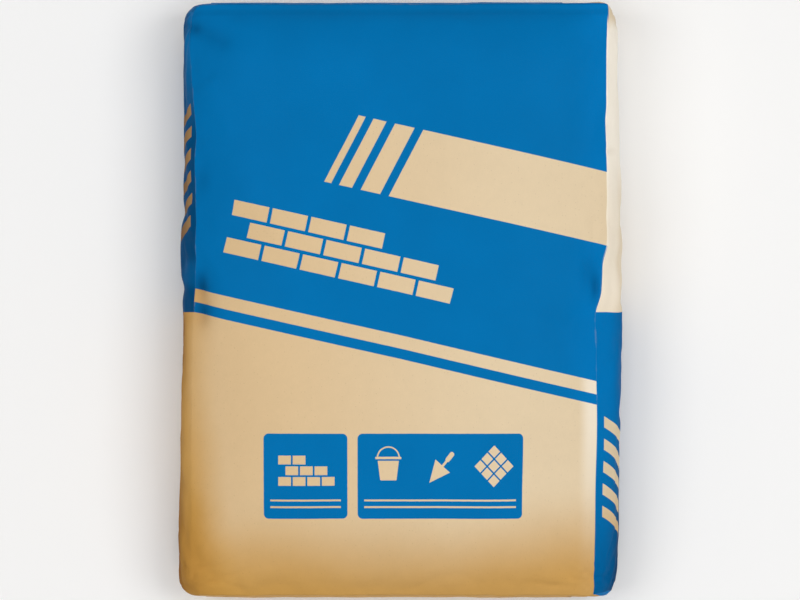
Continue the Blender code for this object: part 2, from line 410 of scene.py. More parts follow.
sackShape = {
    "cells": (68, 94, 18),            # across, along and up
    "drawnToCreases": 1.15,           # 1 spaces the cells evenly
    "panelLeft": [                    # centre line to the left crease, from the plain end to the valve end
        (-0.255, 0.1915), (-0.190, 0.1883), (-0.080, 0.1885), (-0.015, 0.1876), (0.012, 0.1868),
        (0.040, 0.1850), (0.068, 0.1842), (0.118, 0.1858), (0.150, 0.1850), (0.205, 0.1888), (0.255, 0.1915)],
    "panelRight": [                   # the same for the right crease
        (-0.265, 0.1752), (-0.180, 0.1757), (-0.110, 0.1771), (-0.050, 0.1764), (-0.018, 0.1757),
        (0.011, 0.1818), (0.030, 0.1826), (0.054, 0.1877), (0.090, 0.1880), (0.160, 0.1867),
        (0.215, 0.1868), (0.255, 0.1878)],
    "halfLength": (0.2664, 0.2665),   # centre to the creases of the plain and the valve end
    "creaseHeight": {"left": 0.082, "right": 0.090, "plain": 0.062, "valve": 0.086},
    "cornerHeight": {"plainLeft": 0.058, "plainRight": 0.062, "valveLeft": 0.074, "valveRight": 0.084},
    "heightBlend": 8,
    "cornerDip": 6,
    "bottomCrease": (0.009, 0.013),   # midway and at the corners
    "crown": 0.112,
    "leftReach": [                    # fullest point of the left gusset, from the plain end to the valve end
        (-0.215, 0.2013), (-0.105, 0.1992), (-0.020, 0.1970), (0.011, 0.1975), (0.030, 0.1982),
        (0.052, 0.1987), (0.066, 0.1988), (0.084, 0.1975), (0.096, 0.1967), (0.112, 0.1964),
        (0.126, 0.1965), (0.146, 0.1970), (0.176, 0.1958), (0.212, 0.1974), (0.240, 0.1970)],
    "rightReach": [                   # the same for the right gusset
        (-0.265, 0.1950), (-0.235, 0.1968), (-0.200, 0.1982), (-0.109, 0.2000), (-0.045, 0.2016),
        (0.010, 0.2020), (0.040, 0.2014), (0.090, 0.1996), (0.172, 0.1982), (0.217, 0.1968), (0.250, 0.1952)],
    "endSwell": (0.0021, 0.0010),     # plain and valve end
    "endRoom": (0.0004, 0.0018),      # left free at each end for the sheets pasted on it
    "sideRoom": (0.0003, 0.0003),     # left free at the left and the right
    "valveDrawn": (0.020, 0.130),     # from here across the valve end's swell dies out under the sleeve
    "valveDrawnShare": 0.75,          # of the swell that is lost there
    "valveDrawnBy": 0.0006,           # how far the crease stands out there instead
    "swellRound": 2.3,
    "swellInward": 7,
    "flatAcross": 0.42,               # flat middle of the front panel, as shares of half of it
    "flatToValve": 0.76,
    "flatToPlain": 0.56,
    "flatBack": 0.80,
    "domePower": 2.2,
    "outlineCorner": {                # roundness of the outline at its fullest height, across and along
        "plainLeft": (0.014, 0.016), "plainRight": (0.0085, 0.018),
        "valveLeft": (0.013, 0.020), "valveRight": (0.010, 0.026)},
    "creaseCorner": {                 # the same at the front panel's creases
        "plainLeft": (0.014, 0.018), "plainRight": (0.002, 0.003),
        "valveLeft": (0.013, 0.023), "valveRight": (0.003, 0.004)},
    "gussetDepth": 0.098,             # paper from crease to crease, for the print
    "endDepth": 0.092,
    "backPlace": 1.0,                 # the back panel's middle lies this far off on the paper map
}
panelMap = {"halfWidth": 0.188, "halfLength": 0.2650}    # front panel on the paper map


def dome(share, flat):
    outer = max(0.0, (abs(share) - flat) / (1 - flat))
    return 1 - outer ** sackShape["domePower"]


def alongPlace(along):
    return along * sackShape["halfLength"][along > 0]


def sideCrease(side, along):
    return throughKnots(sackShape["panelLeft" if side < 0 else "panelRight"], alongPlace(along))


def sideReach(side, along):
    return throughKnots(sackShape["leftReach" if side < 0 else "rightReach"], alongPlace(along))


def cornerName(across, along):
    return ("valve" if along > 0 else "plain") + ("Right" if across > 0 else "Left")


def roundedCorner(x, y, limitX, limitY, radii):
    acrossRadius, alongRadius = radii
    pastX = (abs(x) - (limitX - acrossRadius)) / acrossRadius
    pastY = (abs(y) - (limitY - alongRadius)) / alongRadius
    if pastX <= 0 or pastY <= 0:
        return x, y
    roundX = pastX * math.sqrt(max(0.0, 1 - pastY ** 2 / 2))
    roundY = pastY * math.sqrt(max(0.0, 1 - pastX ** 2 / 2))
    newX = math.copysign(limitX - acrossRadius + acrossRadius * roundX, x)
    newY = math.copysign(limitY - alongRadius + alongRadius * roundY, y)
    return newX, newY


def frontRim(across, along):
    # height of the front panel's creases, carried inwards over the panel
    heights = sackShape["creaseHeight"]
    side = heights["right" if across > 0 else "left"]
    if abs(across) < 1:
        side = mixed(heights["left"], heights["right"], (across + 1) / 2)
    end = mixed(heights["plain"], heights["valve"], smoothStep(-1, 1, along))
    power = sackShape["heightBlend"]
    endShare = (abs(along) ** power + 1e-9) / (abs(along) ** power + abs(across) ** power + 2e-9)
    corner = sackShape["cornerHeight"][cornerName(across, along)]
    cornerShare = abs(across * along) ** sackShape["cornerDip"]
    return mixed(side, end, endShare) + (corner - (side + end) / 2) * cornerShare


def sackPoint(across, along, up):
    # moves a point of the cube from -1 to 1 to its place on the full sack
    shape = sackShape
    side, end = (-1 if across < 0 else 1), int(along > 0)
    edge = sideCrease(side, along)
    fullness = 1 - abs(up) ** shape["swellRound"]
    bulgeX = (sideReach(side, along) - edge) * fullness
    drawn = smoothStep(*shape["valveDrawn"], across * edge) * end
    bulgeY = shape["endSwell"][end] * fullness * (1 - shape["valveDrawnShare"] * drawn)
    bulgeY += shape["valveDrawnBy"] * drawn
    x = across * edge + across ** shape["swellInward"] * bulgeX
    y = alongPlace(along) + along ** shape["swellInward"] * bulgeY
    name = cornerName(across, along)
    radii = [mixed(crease, outline, fullness if up > 0 else 1.0)
             for crease, outline in zip(shape["creaseCorner"][name], shape["outlineCorner"][name])]
    x, y = roundedCorner(x, y, edge + bulgeX, shape["halfLength"][end] + bulgeY, radii)

    flatAlong = shape["flatToValve"] if along > 0 else shape["flatToPlain"]
    fullTop = dome(across, shape["flatAcross"]) * dome(along, flatAlong)
    top = mixed(frontRim(across, along), shape["crown"], fullTop)
    bottomCrease = mixed(*shape["bottomCrease"], abs(across * along) ** shape["cornerDip"])
    bottom = mixed(bottomCrease, 0.0, dome(across, shape["flatBack"]) * dome(along, shape["flatBack"]))
    return Vector((x, y, mixed(bottom, top, (up + 1) / 2)))


def paperPlace(face, across, along, up):
    # where a point of the cube lies on the unfolded paper, in metres
    panelHalf, halfLength = panelMap.values()
    down = (1 - up) / 2
    if abs(face.normal.x) > 0.5:
        outwards = panelHalf + down * sackShape["gussetDepth"]
        return math.copysign(outwards, face.normal.x), along * halfLength
    if abs(face.normal.y) > 0.5:
        outwards = halfLength + down * sackShape["endDepth"]
        return across * panelHalf, math.copysign(outwards, face.normal.y)
    if face.normal.z < 0:
        return sackShape["backPlace"] - across * panelHalf, along * halfLength
    return across * panelHalf, along * halfLength


creaseLines = {
    "gusset": (0.40, 0.85),     # front panel to gusset: where it is worn soft, and where it is sharp
    "end": (0.30, 0.70),        # front panel to end, plain and valve
    "back": 0.45,               # the same round the back panel
    "corner": (0.30, 0.55),     # gusset to end, left and right
    "softFrom": (-0.02, -0.45), # share of the length over which the left crease softens
}


def creaseOf(edge):
    ends = [vert.co for vert in edge.verts]
    near = 1e-4
    onSide = all(abs(abs(co.x) - 1) < near for co in ends)
    onEnd = all(abs(abs(co.y) - 1) < near for co in ends)
    onFront = all(co.z > 1 - near for co in ends)
    onBack = all(co.z < near - 1 for co in ends)
    onRight, atValve = ends[0].x > 0, ends[0].y > 0
    if onSide and onEnd:
        return creaseLines["corner"][onRight]
    if onBack and (onSide or onEnd):
        return creaseLines["back"]
    if onFront and onSide:
        soft, sharp = creaseLines["gusset"]
        begins, finishes = creaseLines["softFrom"]
        worn = 0 if onRight else smoothStep(-begins, -finishes, -ends[0].y)
        return mixed(sharp, soft, worn)
    if onFront and onEnd:
        return creaseLines["end"][atValve]
    return 0.0


def drawnToCreases(share):
    return math.copysign(1 - (1 - abs(share)) ** sackShape["drawnToCreases"], share)


def makeSackForm():
    form = bmesh.new()
    bmesh.ops.create_cube(form, size=2)
    for axis, cells in enumerate(sackShape["cells"]):
        runs = [edge for edge in form.edges if abs((edge.verts[0].co - edge.verts[1].co)[axis]) > 1]
        bmesh.ops.subdivide_edges(form, edges=runs, cuts=cells - 1, use_grid_fill=True)
    form.normal_update()
    creaseLayer = form.edges.layers.float.new("crease_edge")
    for edge in form.edges:
        edge[creaseLayer] = creaseOf(edge)
    for vert in form.verts:
        vert.co = [drawnToCreases(share) for share in vert.co]
    paperMap = form.loops.layers.uv.new("paper")
    for face in form.faces:
        for loop in face.loops:
            loop[paperMap].uv = paperPlace(face, *loop.vert.co)
    for vert in form.verts:
        vert.co = sackPoint(*vert.co)
    bmesh.ops.recalc_face_normals(form, faces=form.faces)
    mesh = bpy.data.meshes.new("paperSackForm")
    form.to_mesh(mesh)
    form.free()
    mesh.shade_smooth()
    return mesh


# Paper puckers, where the powder presses the paper against its creases

puckers = {
    "frames": 14,
    "steps": 5,
    "pressure": 3.0,
    "slack": 0.012,           # spare paper, as a share of its length
    "weight": 0.15,
    "stiffness": 40,
    "bending": 3.0,
    "holdFloor": 0.002,       # paper below this height lies on the floor and stays there
    "swellKept": 0.10,        # how much of the slow swelling is kept
    "keptMiddle": 0.20,       # how much of the fine folds is kept: on the panel, at its creases, on the sides
    "keptCrease": 0.60,
    "keptSides": 1.00,
    "keptEnds": 0.15,         # the pasted ends are stiffer
    "endsFrom": (0.255, 0.264),
    "corner": (0.190, 0.266), # the corners keep most of their shape
    "cornerReach": 0.035,
    "cornerStill": 0.7,
    "fadeOver": 0.085,        # from the creases inwards
    "sidesFrom": (0.080, 0.060),
    "smoothing": 18,
    "most": 0.0035,
}


def neighbourMean(values, edges, counts):
    total = np.zeros_like(values)
    np.add.at(total, edges[:, 0], values[edges[:, 1]])
    np.add.at(total, edges[:, 1], values[edges[:, 0]])
    return total / counts


def swollen(obj):
    # how far the powder's pressure moves each point of the spare, stiff paper
    still = vertexPlaces(obj.data)
    held = obj.vertex_groups.new(name="held")
    held.add([int(i) for i in np.nonzero(still[:, 2] < puckers["holdFloor"])[0]], 1.0, "REPLACE")
    cloth = obj.modifiers.new("paper", "CLOTH")
    paper = cloth.settings
    paper.quality = puckers["steps"]
    paper.mass = puckers["weight"]
    paper.tension_stiffness = puckers["stiffness"]
    paper.compression_stiffness = puckers["stiffness"]
    paper.shear_stiffness = puckers["stiffness"] / 2
    paper.bending_stiffness = puckers["bending"]
    paper.shrink_min = -puckers["slack"]
    paper.use_pressure = True
    paper.uniform_pressure_force = puckers["pressure"]
    paper.vertex_group_mass = "held"
    paper.effector_weights.gravity = 0
    cloth.point_cache.frame_start = 1
    cloth.point_cache.frame_end = puckers["frames"] + 1
    for step in range(1, puckers["frames"] + 1):
        bpy.context.scene.frame_set(step)
    pressed = plainMesh(obj, "pressed")
    moved = vertexPlaces(pressed) - still
    bpy.data.meshes.remove(pressed)
    obj.modifiers.remove(cloth)
    obj.vertex_groups.remove(held)
    bpy.context.scene.frame_set(1)
    return moved


def puckerPaper(obj):
    # keeps the fine folds of the simulation, and little of its slow swelling
    mesh = obj.data
    still, moved = vertexPlaces(mesh), swollen(obj)
    edges = np.empty(len(mesh.edges) * 2, dtype=np.int64)
    mesh.edges.foreach_get("vertices", edges)
    edges = edges.reshape(-1, 2)
    counts = np.bincount(edges.ravel(), minlength=len(still)).reshape(-1, 1)
    slow = moved.copy()
    for _ in range(puckers["smoothing"]):
        slow = (slow + neighbourMean(slow, edges, counts)) / 2
    toSide = panelMap["halfWidth"] - np.abs(still[:, 0:1])
    toEnd = panelMap["halfLength"] - np.abs(still[:, 1:2])
    inward = clipped(np.minimum(toSide, toEnd), 0, puckers["fadeOver"])
    onSides = clipped(still[:, 2:3], *puckers["sidesFrom"])
    onEnds = clipped(np.abs(still[:, 1:2]), *puckers["endsFrom"])
    fineKept = mixed(puckers["keptCrease"], puckers["keptMiddle"], inward)
    fineKept = mixed(fineKept, puckers["keptSides"], onSides)
    fineKept *= mixed(1, puckers["keptEnds"], onEnds)
    toCorner = np.linalg.norm(np.abs(still[:, :2]) - np.array(puckers["corner"]), axis=1, keepdims=True)
    fineKept *= 1 - puckers["cornerStill"] * np.exp(-(toCorner / puckers["cornerReach"]) ** 2)
    kept = (moved - slow) * fineKept + slow * puckers["swellKept"] * (1 - onSides) * inward
    length = np.linalg.norm(kept, axis=1, keepdims=True)
    kept *= np.minimum(1.0, puckers["most"] / np.maximum(length, 1e-9))
    print("  puckers reach", round(float(length.max()) * 1000, 2), "mm")
    setVertexPlaces(mesh, still + kept)


# Dents and pressed folds that the photo shows, seen from above

dents = [
    # middle, half size across and along, depth
    ((-0.1815, 0.0125), (0.0065, 0.0120), 0.0048),   # hard pinch beside the left crease
    ((-0.1805, -0.0120), (0.0075, 0.0125), 0.0044),
    ((-0.1720, 0.0010), (0.0080, 0.0180), 0.0012),
    ((-0.1800, 0.108), (0.0080, 0.013), 0.0014),
    ((-0.1870, 0.2450), (0.0060, 0.0045), 0.0020),   # pinch where the valve end's valley begins
    ((0.1772, 0.012), (0.0040, 0.013), 0.0030),      # pinch where the right crease moves over
    ((0.1700, 0.026), (0.0070, 0.014), 0.0012),
    ((0.1905, 0.134), (0.0060, 0.0030), 0.0012),     # fold across the right gusset
]
foldLines = [
    # start, end, half width, depth
    ((-0.1920, 0.2480), (-0.1610, 0.2320), 0.0085, 0.0028),   # slanting valley from the valve end's corner
    ((-0.1500, 0.2575), (0.1700, 0.2590), 0.0050, 0.0010),    # groove behind the valve end's crease
    ((-0.1860, 0.1900), (-0.1700, 0.2020), 0.0045, 0.0008),
    ((0.1735, 0.0720), (0.1722, -0.0020), 0.0022, 0.0005),    # pleats beside the right crease
    ((0.1655, 0.0560), (0.1668, 0.0060), 0.0030, 0.0004),
    ((0.1660, -0.2300), (0.1770, -0.2540), 0.0050, 0.0009),
    ((-0.1880, -0.2280), (-0.1640, -0.2500), 0.0060, 0.0010),
]
surfaceWaves = {
    "height": 0.00045,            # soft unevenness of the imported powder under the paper
    "scale": (26.0, 9.0, 20.0),
    "gussetFold": 0.0009,         # depth of the pressed fold down the middle of each gusset
    "gussetFoldAt": 0.050,
    "gussetFoldHalf": 0.0035,
    "seamHalf": 0.024,            # hollow that the back panel's glued seam lies in
    "seamFade": 0.016,
    "seamDepth": 0.0012,
}
wrinkles = {
    "corner": (0.186, 0.262, 0.080, 0.014),   # across, along, upper and lower height
    "reach": 0.075,               # how far they fan out from each corner
    "begin": (0.004, 0.020),      # how soon they grow
    "longest": 2.6,               # times their reach, past which there are none
    "outlineAt": 0.045,           # height of the sack's outline, which they mostly leave alone
    "outlineHalf": 0.018,
    "outlineSpared": 0.6,
    "rays": 3.6,
    "cornerSeed": 40,             # turns each corner's fan differently
    "sharpness": 2.6,
    "depth": 0.0022,
    "evenRidge": 0.33,            # mean of the ridges, taken off so that the outline keeps its place
    "frontShare": 0.25,
    "crumple": 0.0022,            # creasing of the sides and ends
    "crumpleAtOutline": 0.45,
    "evenCrumple": 0.95,
    "crumpleFront": 0.00012,
    "crumpleScale": (26.0, 15.0, 34.0),
    "finer": 2.1,                 # second, finer crumpling
    "finerFrom": (7, 3, 1),
    "finerShare": 0.5,
    "endsKeep": 0.40,             # share of all this on the pasted ends, which are stiffer
}
pressing = {
    # where each kind of relief comes in: heights, or distances from the middle
    "dents": (0.045, 0.065),
    "front": (0.066, 0.086),
    "offFloor": (0.001, 0.016),
    "ends": (0.256, 0.264),
    "gussets": (0.184, 0.190),
    "back": 0.006,
    "foldPower": 1.5,             # how steeply a pressed fold ends, and a gusset's fold
    "gussetPower": 1.3,
    "foldShading": 0.45,          # a long soft fold gets less painted shade than a dent of its depth
    "fullyPressed": 0.0050,       # a dent this deep gets all the painted shade it can
}
backSeam = {"middle": -0.030, "width": 0.038}


def nearOutline(height):
    return math.exp(-((height - wrinkles["outlineAt"]) / wrinkles["outlineHalf"]) ** 2)


def noiseSpot(place, scale):
    return Vector(part * times for part, times in zip(place, scale))


def cornerWrinkles(place, onFront):
    # sharp little ridges that fan out from the nearest corner of the sack
    side, end, high, low = wrinkles["corner"]
    height = high if place.z > wrinkles["outlineAt"] else low
    corner = Vector((math.copysign(side, place.x), math.copysign(end, place.y), height))
    away = place - corner
    distance = away.length
    if distance < wrinkles["begin"][0] or distance > wrinkles["longest"] * wrinkles["reach"]:
        return 0.0
    ray = away.normalized() * wrinkles["rays"] + corner * wrinkles["cornerSeed"]
    ridge = 1 - min(1.0, wrinkles["sharpness"] * abs(noise.noise(ray)))
    fade = math.exp(-(distance / wrinkles["reach"]) ** 2) * smoothStep(*wrinkles["begin"], distance)
    fade *= 1 - wrinkles["outlineSpared"] * nearOutline(place.z)
    fade *= mixed(1.0, wrinkles["frontShare"], onFront)
    return wrinkles["depth"] * (ridge ** 2 - wrinkles["evenRidge"]) * fade


def crumpled(place, onFront):
    # flat facets that meet in shallow creases
    spot = noiseSpot(place, wrinkles["crumpleScale"])
    finer = spot * wrinkles["finer"] + Vector(wrinkles["finerFrom"])
    folded = 1 - 2 * abs(noise.noise(spot))
    folded += wrinkles["finerShare"] * (1 - 2 * abs(noise.noise(finer)))
    depth = wrinkles["crumple"] * mixed(1.0, wrinkles["crumpleAtOutline"], nearOutline(place.z))
    return (folded - wrinkles["evenCrumple"]) * mixed(depth, wrinkles["crumpleFront"], onFront)


def distanceToLine(places, start, end):
    start, end = np.array(start), np.array(end)
    run = end - start
    share = np.clip((places[:, :2] - start) @ run / (run @ run), 0, 1)
    return np.linalg.norm(places[:, :2] - start - share[:, None] * run, axis=1)


def pressPaper(mesh):
    # sinks all of this into the paper and returns how far each point is pressed, from 0 to 1
    places, normals = vertexPlaces(mesh), vertexNormals(mesh)
    fromMiddle, fromWaist, height = np.abs(places[:, 0]), np.abs(places[:, 1]), places[:, 2]
    depth = np.zeros(len(places))
    onFront = clipped(height, *pressing["dents"])
    for middle, half, deep in dents:
        away = ((places[:, :2] - np.array(middle)) / np.array(half)) ** 2
        depth += deep * np.exp(-away.sum(axis=1)) * onFront
    pressed = depth.copy()
    for start, end, half, deep in foldLines:
        away = distanceToLine(places, start, end) / half
        fold = deep * np.exp(-away ** pressing["foldPower"]) * onFront
        depth += fold
        pressed += fold * pressing["foldShading"]
    pressed = clipped(pressed, 0, pressing["fullyPressed"])

    creasing = mixed(1.0, wrinkles["endsKeep"], clipped(fromWaist, *pressing["ends"]))
    frontShare = clipped(height, *pressing["front"])
    offFloor = clipped(height, *pressing["offFloor"])
    for index, place in enumerate(places):
        uneven = surfaceWaves["height"] * noise.noise(noiseSpot(place, surfaceWaves["scale"]))
        spot, share = Vector(place), frontShare[index]
        creased = crumpled(spot, share) + cornerWrinkles(spot, share)
        depth[index] += (uneven + creased * creasing[index]) * offFloor[index]

    fromFold = np.abs(height - surfaceWaves["gussetFoldAt"]) / surfaceWaves["gussetFoldHalf"]
    onGusset = clipped(fromMiddle, *pressing["gussets"])
    depth += surfaceWaves["gussetFold"] * np.exp(-fromFold ** pressing["gussetPower"]) * onGusset
    fromSeam = np.abs(places[:, 0] - backSeam["middle"]) - surfaceWaves["seamHalf"]
    onBack = (height < pressing["back"]) * (1 - clipped(fromSeam, 0, surfaceWaves["seamFade"]))
    depth += surfaceWaves["seamDepth"] * onBack
    setVertexPlaces(mesh, places - normals * depth[:, None])
    return pressed


def fitToBox(mesh, low, high):
    # the paper swells and shrinks a little as it is worked; this gives it its real size back
    places = vertexPlaces(mesh)
    nowLow, nowHigh = places.min(axis=0), places.max(axis=0)
    places = (places - nowLow) / (nowHigh - nowLow) * (np.array(high) - np.array(low)) + np.array(low)
    setVertexPlaces(mesh, places)


print("sack: full shape")
sackRough = addObject("sackRough", makeSackForm())
print("sack: puckers")
puckerPaper(sackRough)
finish = sackRough.modifiers.new("smooth paper", "SUBSURF")
finish.levels = finish.render_levels = 1
sackMesh = plainMesh(sackRough, "paperSack")
print("sack: dents, folds and wrinkles")
# how far each point is pressed; the finish paints shade in dents and folds from it
pressed = sackMesh.attributes.new("pressed", "FLOAT", "POINT")
pressed.data.foreach_set("value", pressPaper(sackMesh))
sackLow, sackHigh = (Vector(corner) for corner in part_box("paper_sack"))
sackLow += Vector((sackShape["sideRoom"][0], sackShape["endRoom"][0], 0))
sackHigh -= Vector((sackShape["sideRoom"][1], sackShape["endRoom"][1], 0))
fitToBox(sackMesh, sackLow, sackHigh)
sackSkin = addObject("paperSack", sackMesh)
print("sack:", len(sackMesh.polygons), "faces")


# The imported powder, a little inside the paper

fillInset = 0.0025


def makeFill():
    mesh = sackRough.data.copy()
    pressPaper(mesh)
    fitToBox(mesh, sackLow, sackHigh)
    setVertexPlaces(mesh, vertexPlaces(mesh) - vertexNormals(mesh) * fillInset)
    return mesh


fill = addObject("cementFill", makeFill())
bpy.data.objects.remove(sackRough)


# Print and paper finishes

paperColours = {
    "pale": fromScreen(227, 206, 172),
    "golden": fromScreen(202, 152, 72),
    # painted shade colour, for the left gusset, the foot corner and dents
    "umberShade": fromScreen(140, 92, 44),
    # pale paper, also used for a painted highlight beside the right crease
    "paleAndHighlit": fromScreen(255, 247, 232),
    # painted shade colour for the bars on the left gusset
    "barShade": fromScreen(62, 66, 78),
    "ink": fromScreen(0, 112, 176),
    # painted highlight colour for the ink
    "highlitInk": fromScreen(0, 121, 192),
    # painted shade colour for the ink
    "shadedInk": fromScreen(0, 42, 78),
    "sleeve": fromScreen(206, 178, 134),
    "powder": fromScreen(150, 149, 146),
}
frontPrint = {
    "fall": -0.22,                 # slope of the print's edges across the panel
    "field": -0.030,               # blue above this line
    "stripe": (-0.0505, -0.0415),  # thin stripe below it
    "band": (0.088, 0.152),        # bare band in the blue, from its left end to the right crease
    "bandEnd": -0.030,
    "bandHalf": 0.25,
    "acrossHalf": 1.0,             # the stripe runs right across
    "lean": 0.28,                  # slant of the band's end and of the bars beyond it
    "bars": ((-0.047, 0.009), (-0.070, 0.006), (-0.0865, 0.0032)),   # middle and half width
    "wallAt": (-0.170, 0.004),     # left and foot of the brick wall
    "wall": (6, 3),                # bricks in its lowest course, and courses
    "brick": (0.036, 0.017),       # one brick with its joint, and one course
    "joint": 0.0032,
}
panelPrint = {
    "single": (-0.0845, -0.156, 0.0375, 0.038),   # middle and half size of the two blue panels
    "wide": (0.0395, -0.156, 0.0775, 0.038),
    "corner": 0.0045,
    "ruleDrops": (0.0215, 0.0275),    # two thin rules below the middle of each
    "ruleHalf": 0.0008,
    "ruleInset": 0.006,
    "signsUp": 0.008,                 # the signs stand this far above the middle, this far apart
    "signsApart": 0.050,
    "bucket": 0.0150,
    "trowel": 0.0180,
    "paving": 0.0185,
    "wallAt": (-0.026, -0.010),       # from the single panel's middle
    "wall": (4, 3),
    "brick": (0.0130, 0.0095),
    "joint": 0.0017,
}
gussetPrint = {
    "change": -0.0105,             # where each gusset changes from blue to bare
    "barPitch": 0.020,
    "barLean": 0.5,
    "bars": (0.007, 0.046),        # from the crease
    "rightRun": (-0.195, -0.095),  # each run begins and ends a quarter of a pitch past a whole one
    "leftRun": (0.065, 0.185),
}
endPrint = {
    "tuckFrom": 0.100,             # the right gusset's tuck begins here
    "runsOver": 0.0185,            # how far the front's print runs on over the valve end's crease
    "slant": 0.25,                 # how fast it narrows there
    "edge": 0.0005,
}
backPrint = {
    "half": 0.30,                  # the bands run right across
    "field": (0.105, 0.225),
    "stripe": (0.085, 0.095),
    "foot": (-0.231, -0.199),
    "wallAt": (-0.120, 0.138),
    "wall": (6, 3),
    "brick": (0.040, 0.019),
    "joint": 0.0035,
}


def pastMiddle(value):
    # 1 on the right of the sack's middle, or on its valve half
    return rising(value, 0.0, 0.001)


def box(u, v, middleU, middleV, halfU, halfV, corner=0.0):
    tree = u.socket.id_data
    made = useGroup(tree, inkBox, {
        "U": u, "V": v, "Centre U": middleU, "Centre V": middleV,
        "Half Width": halfU, "Half Height": halfV, "Corner": corner,
    })
    return Field(made["Mask"])


def band(u, v, middleU, halfU, span):
    # a box from the first to the second place of its span
    low, high = span
    return box(u, v, middleU, (low + high) / 2, halfU, (high - low) / 2)


def brickWall(r, s, layout, left=0.0, foot=0.0):
    # a stretch of wall still being built: each course half a brick over and one brick shorter
    length, height = layout["brick"]
    joint = layout["joint"]
    bricks, courses = layout["wall"]
    up = (s - (foot + layout["wallAt"][1])) / height
    course = up.maths("FLOOR")
    start = course % 2.0 * (length / 2) + (left + layout["wallAt"][0])
    along = (r - start) / length
    inRow = rising((up - course) * height, joint - printEdge, joint + printEdge)
    inBrick = rising(along.maths("FRACT") * length, joint - printEdge, joint + printEdge)
    inWall = along.maths("GREATER_THAN", 0.0) * along.maths("LESS_THAN", bricks - course)
    inCourses = up.maths("GREATER_THAN", 0.0) * up.maths("LESS_THAN", float(courses))
    return inRow * inBrick * inWall * inCourses


def turned(u, v, middleU, middleV, angle):
    cos, sin = math.cos(angle), math.sin(angle)
    return (u - middleU) * cos + (v - middleV) * sin, (v - middleV) * cos - (u - middleU) * sin


signShapes = {
    # in shares of a sign's size: middle, half size and corner of a box, beginning and end of an edge
    "bucket": (0.0, -0.15, 0.58, 0.62, 0.05),
    "bucketTaper": 0.22,
    "bucketBrim": (0.38, 0.40),
    "rim": (0.0, 0.56, 0.78, 0.07, 0.05),
    "handleMiddle": 0.56,
    "handleInside": (0.60, 0.62),
    "handleOutside": (0.68, 0.70),
    "handleFoot": (0.56, 0.58),
    "trowelTurn": -40,
    "bladeTip": (-1.0, -0.98),
    "bladeWidens": 0.46,
    "bladeSides": (-0.01, 0.01),
    "bladeHeel": (0.08, 0.10),
    "neck": (0.0, 0.26, 0.06, 0.18, 0.0),
    "grip": (0.0, 0.68, 0.12, 0.28, 0.10),
    "pavingTurn": 45,
    "pavingHalf": 0.75,
    "pavingCorner": 0.04,
    "stone": 0.5,
    "stoneJoint": (0.07, 0.09),
}


def bucketSign(u, v, middleU, middleV, size):
    shapes = signShapes
    p, q = (u - middleU) / size, (v - middleV) / size
    body = box(p / (q * shapes["bucketTaper"] + 1), q, *shapes["bucket"]) * falling(q, *shapes["bucketBrim"])
    rise = q - shapes["handleMiddle"]
    away = (p * p + rise * rise).maths("SQRT")
    handle = rising(away, *shapes["handleInside"]) * falling(away, *shapes["handleOutside"])
    return biggest(body, box(p, q, *shapes["rim"]), handle * rising(q, *shapes["handleFoot"]))


def trowelSign(u, v, middleU, middleV, size):
    shapes = signShapes
    a, b = turned(u, v, middleU, middleV, math.radians(shapes["trowelTurn"]))
    a, b = a / size, b / size
    fromTip = b - shapes["bladeTip"][0]
    blade = falling(abs(a) - fromTip * shapes["bladeWidens"], *shapes["bladeSides"])
    blade = blade * rising(b, *shapes["bladeTip"]) * falling(b, *shapes["bladeHeel"])
    return biggest(blade, box(a, b, *shapes["neck"]), box(a, b, *shapes["grip"]))


def pavingSign(u, v, middleU, middleV, size):
    shapes, half = signShapes, signShapes["pavingHalf"]
    a, b = turned(u, v, middleU, middleV, math.radians(shapes["pavingTurn"]))
    a, b = a / size, b / size
    stonesA, stonesB = (rising((way + half) % shapes["stone"], *shapes["stoneJoint"]) for way in (a, b))
    return stonesA * stonesB * box(a, b, 0.0, 0.0, half, half, shapes["pavingCorner"])


def panelSigns(u, v):
    # bare signs on the blue panels: bricks on the single one, three small ones on the wide one
    layout = panelPrint
    left, right = layout["single"], layout["wide"]
    middleU, middleV = right[0], right[1] + layout["signsUp"]
    signs = [
        brickWall(u, v, layout, left[0], left[1]),
        bucketSign(u, v, middleU - layout["signsApart"], middleV, layout["bucket"]),
        trowelSign(u, v, middleU, middleV, layout["trowel"]),
        pavingSign(u, v, middleU + layout["signsApart"], middleV, layout["paving"]),
    ]
    for middleU, middleV, halfU, halfV in (left, right):
        for drop in layout["ruleDrops"]:
            signs.append(box(u, v, middleU, middleV - drop, halfU - layout["ruleInset"], layout["ruleHalf"]))
    return biggest(*signs)


def frontInk(u, v):
    # 1 where the front panel is printed
    layout = frontPrint
    r, s = turned(u, v, 0.0, 0.0, math.atan(layout["fall"]))
    field = rising(s, layout["field"] - printEdge, layout["field"] + printEdge)
    stripe = band(r, s, 0.0, layout["acrossHalf"], layout["stripe"])
    leaning = r - (s - layout["band"][0]) * layout["lean"]
    bands = [(layout["bandEnd"] + layout["bandHalf"], layout["bandHalf"]), *layout["bars"]]
    bare = [band(leaning, s, middle, half, layout["band"]) for middle, half in bands]
    bare = biggest(*bare, brickWall(r, s, layout))
    panels = [box(u, v, *panelPrint[name], panelPrint["corner"]) for name in ("single", "wide")]
    panelInk = biggest(*panels) * (1 - panelSigns(u, v))
    return biggest(field * (1 - bare), stripe, panelInk)


def gussetInk(u, v):
    # the right gusset is blue below the change and the left one above it, each with a run of slanted bars
    layout = gussetPrint
    upper = rising(v, layout["change"] - printEdge, layout["change"] + printEdge)
    onRight = pastMiddle(u)
    fromCrease = abs(u) - panelMap["halfWidth"]
    leaning = v + fromCrease * layout["barLean"]
    half = layout["barPitch"] / 2
    bars = rising(leaning % layout["barPitch"], half - printEdge, half + printEdge)
    near, far = layout["bars"]
    rightBars, leftBars = (band(fromCrease, leaning, (near + far) / 2, (far - near) / 2, layout[run]) * bars
                           for run in ("rightRun", "leftRun"))
    return biggest(onRight * (1 - upper) * (1 - rightBars), (1 - onRight) * upper * (1 - leftBars))


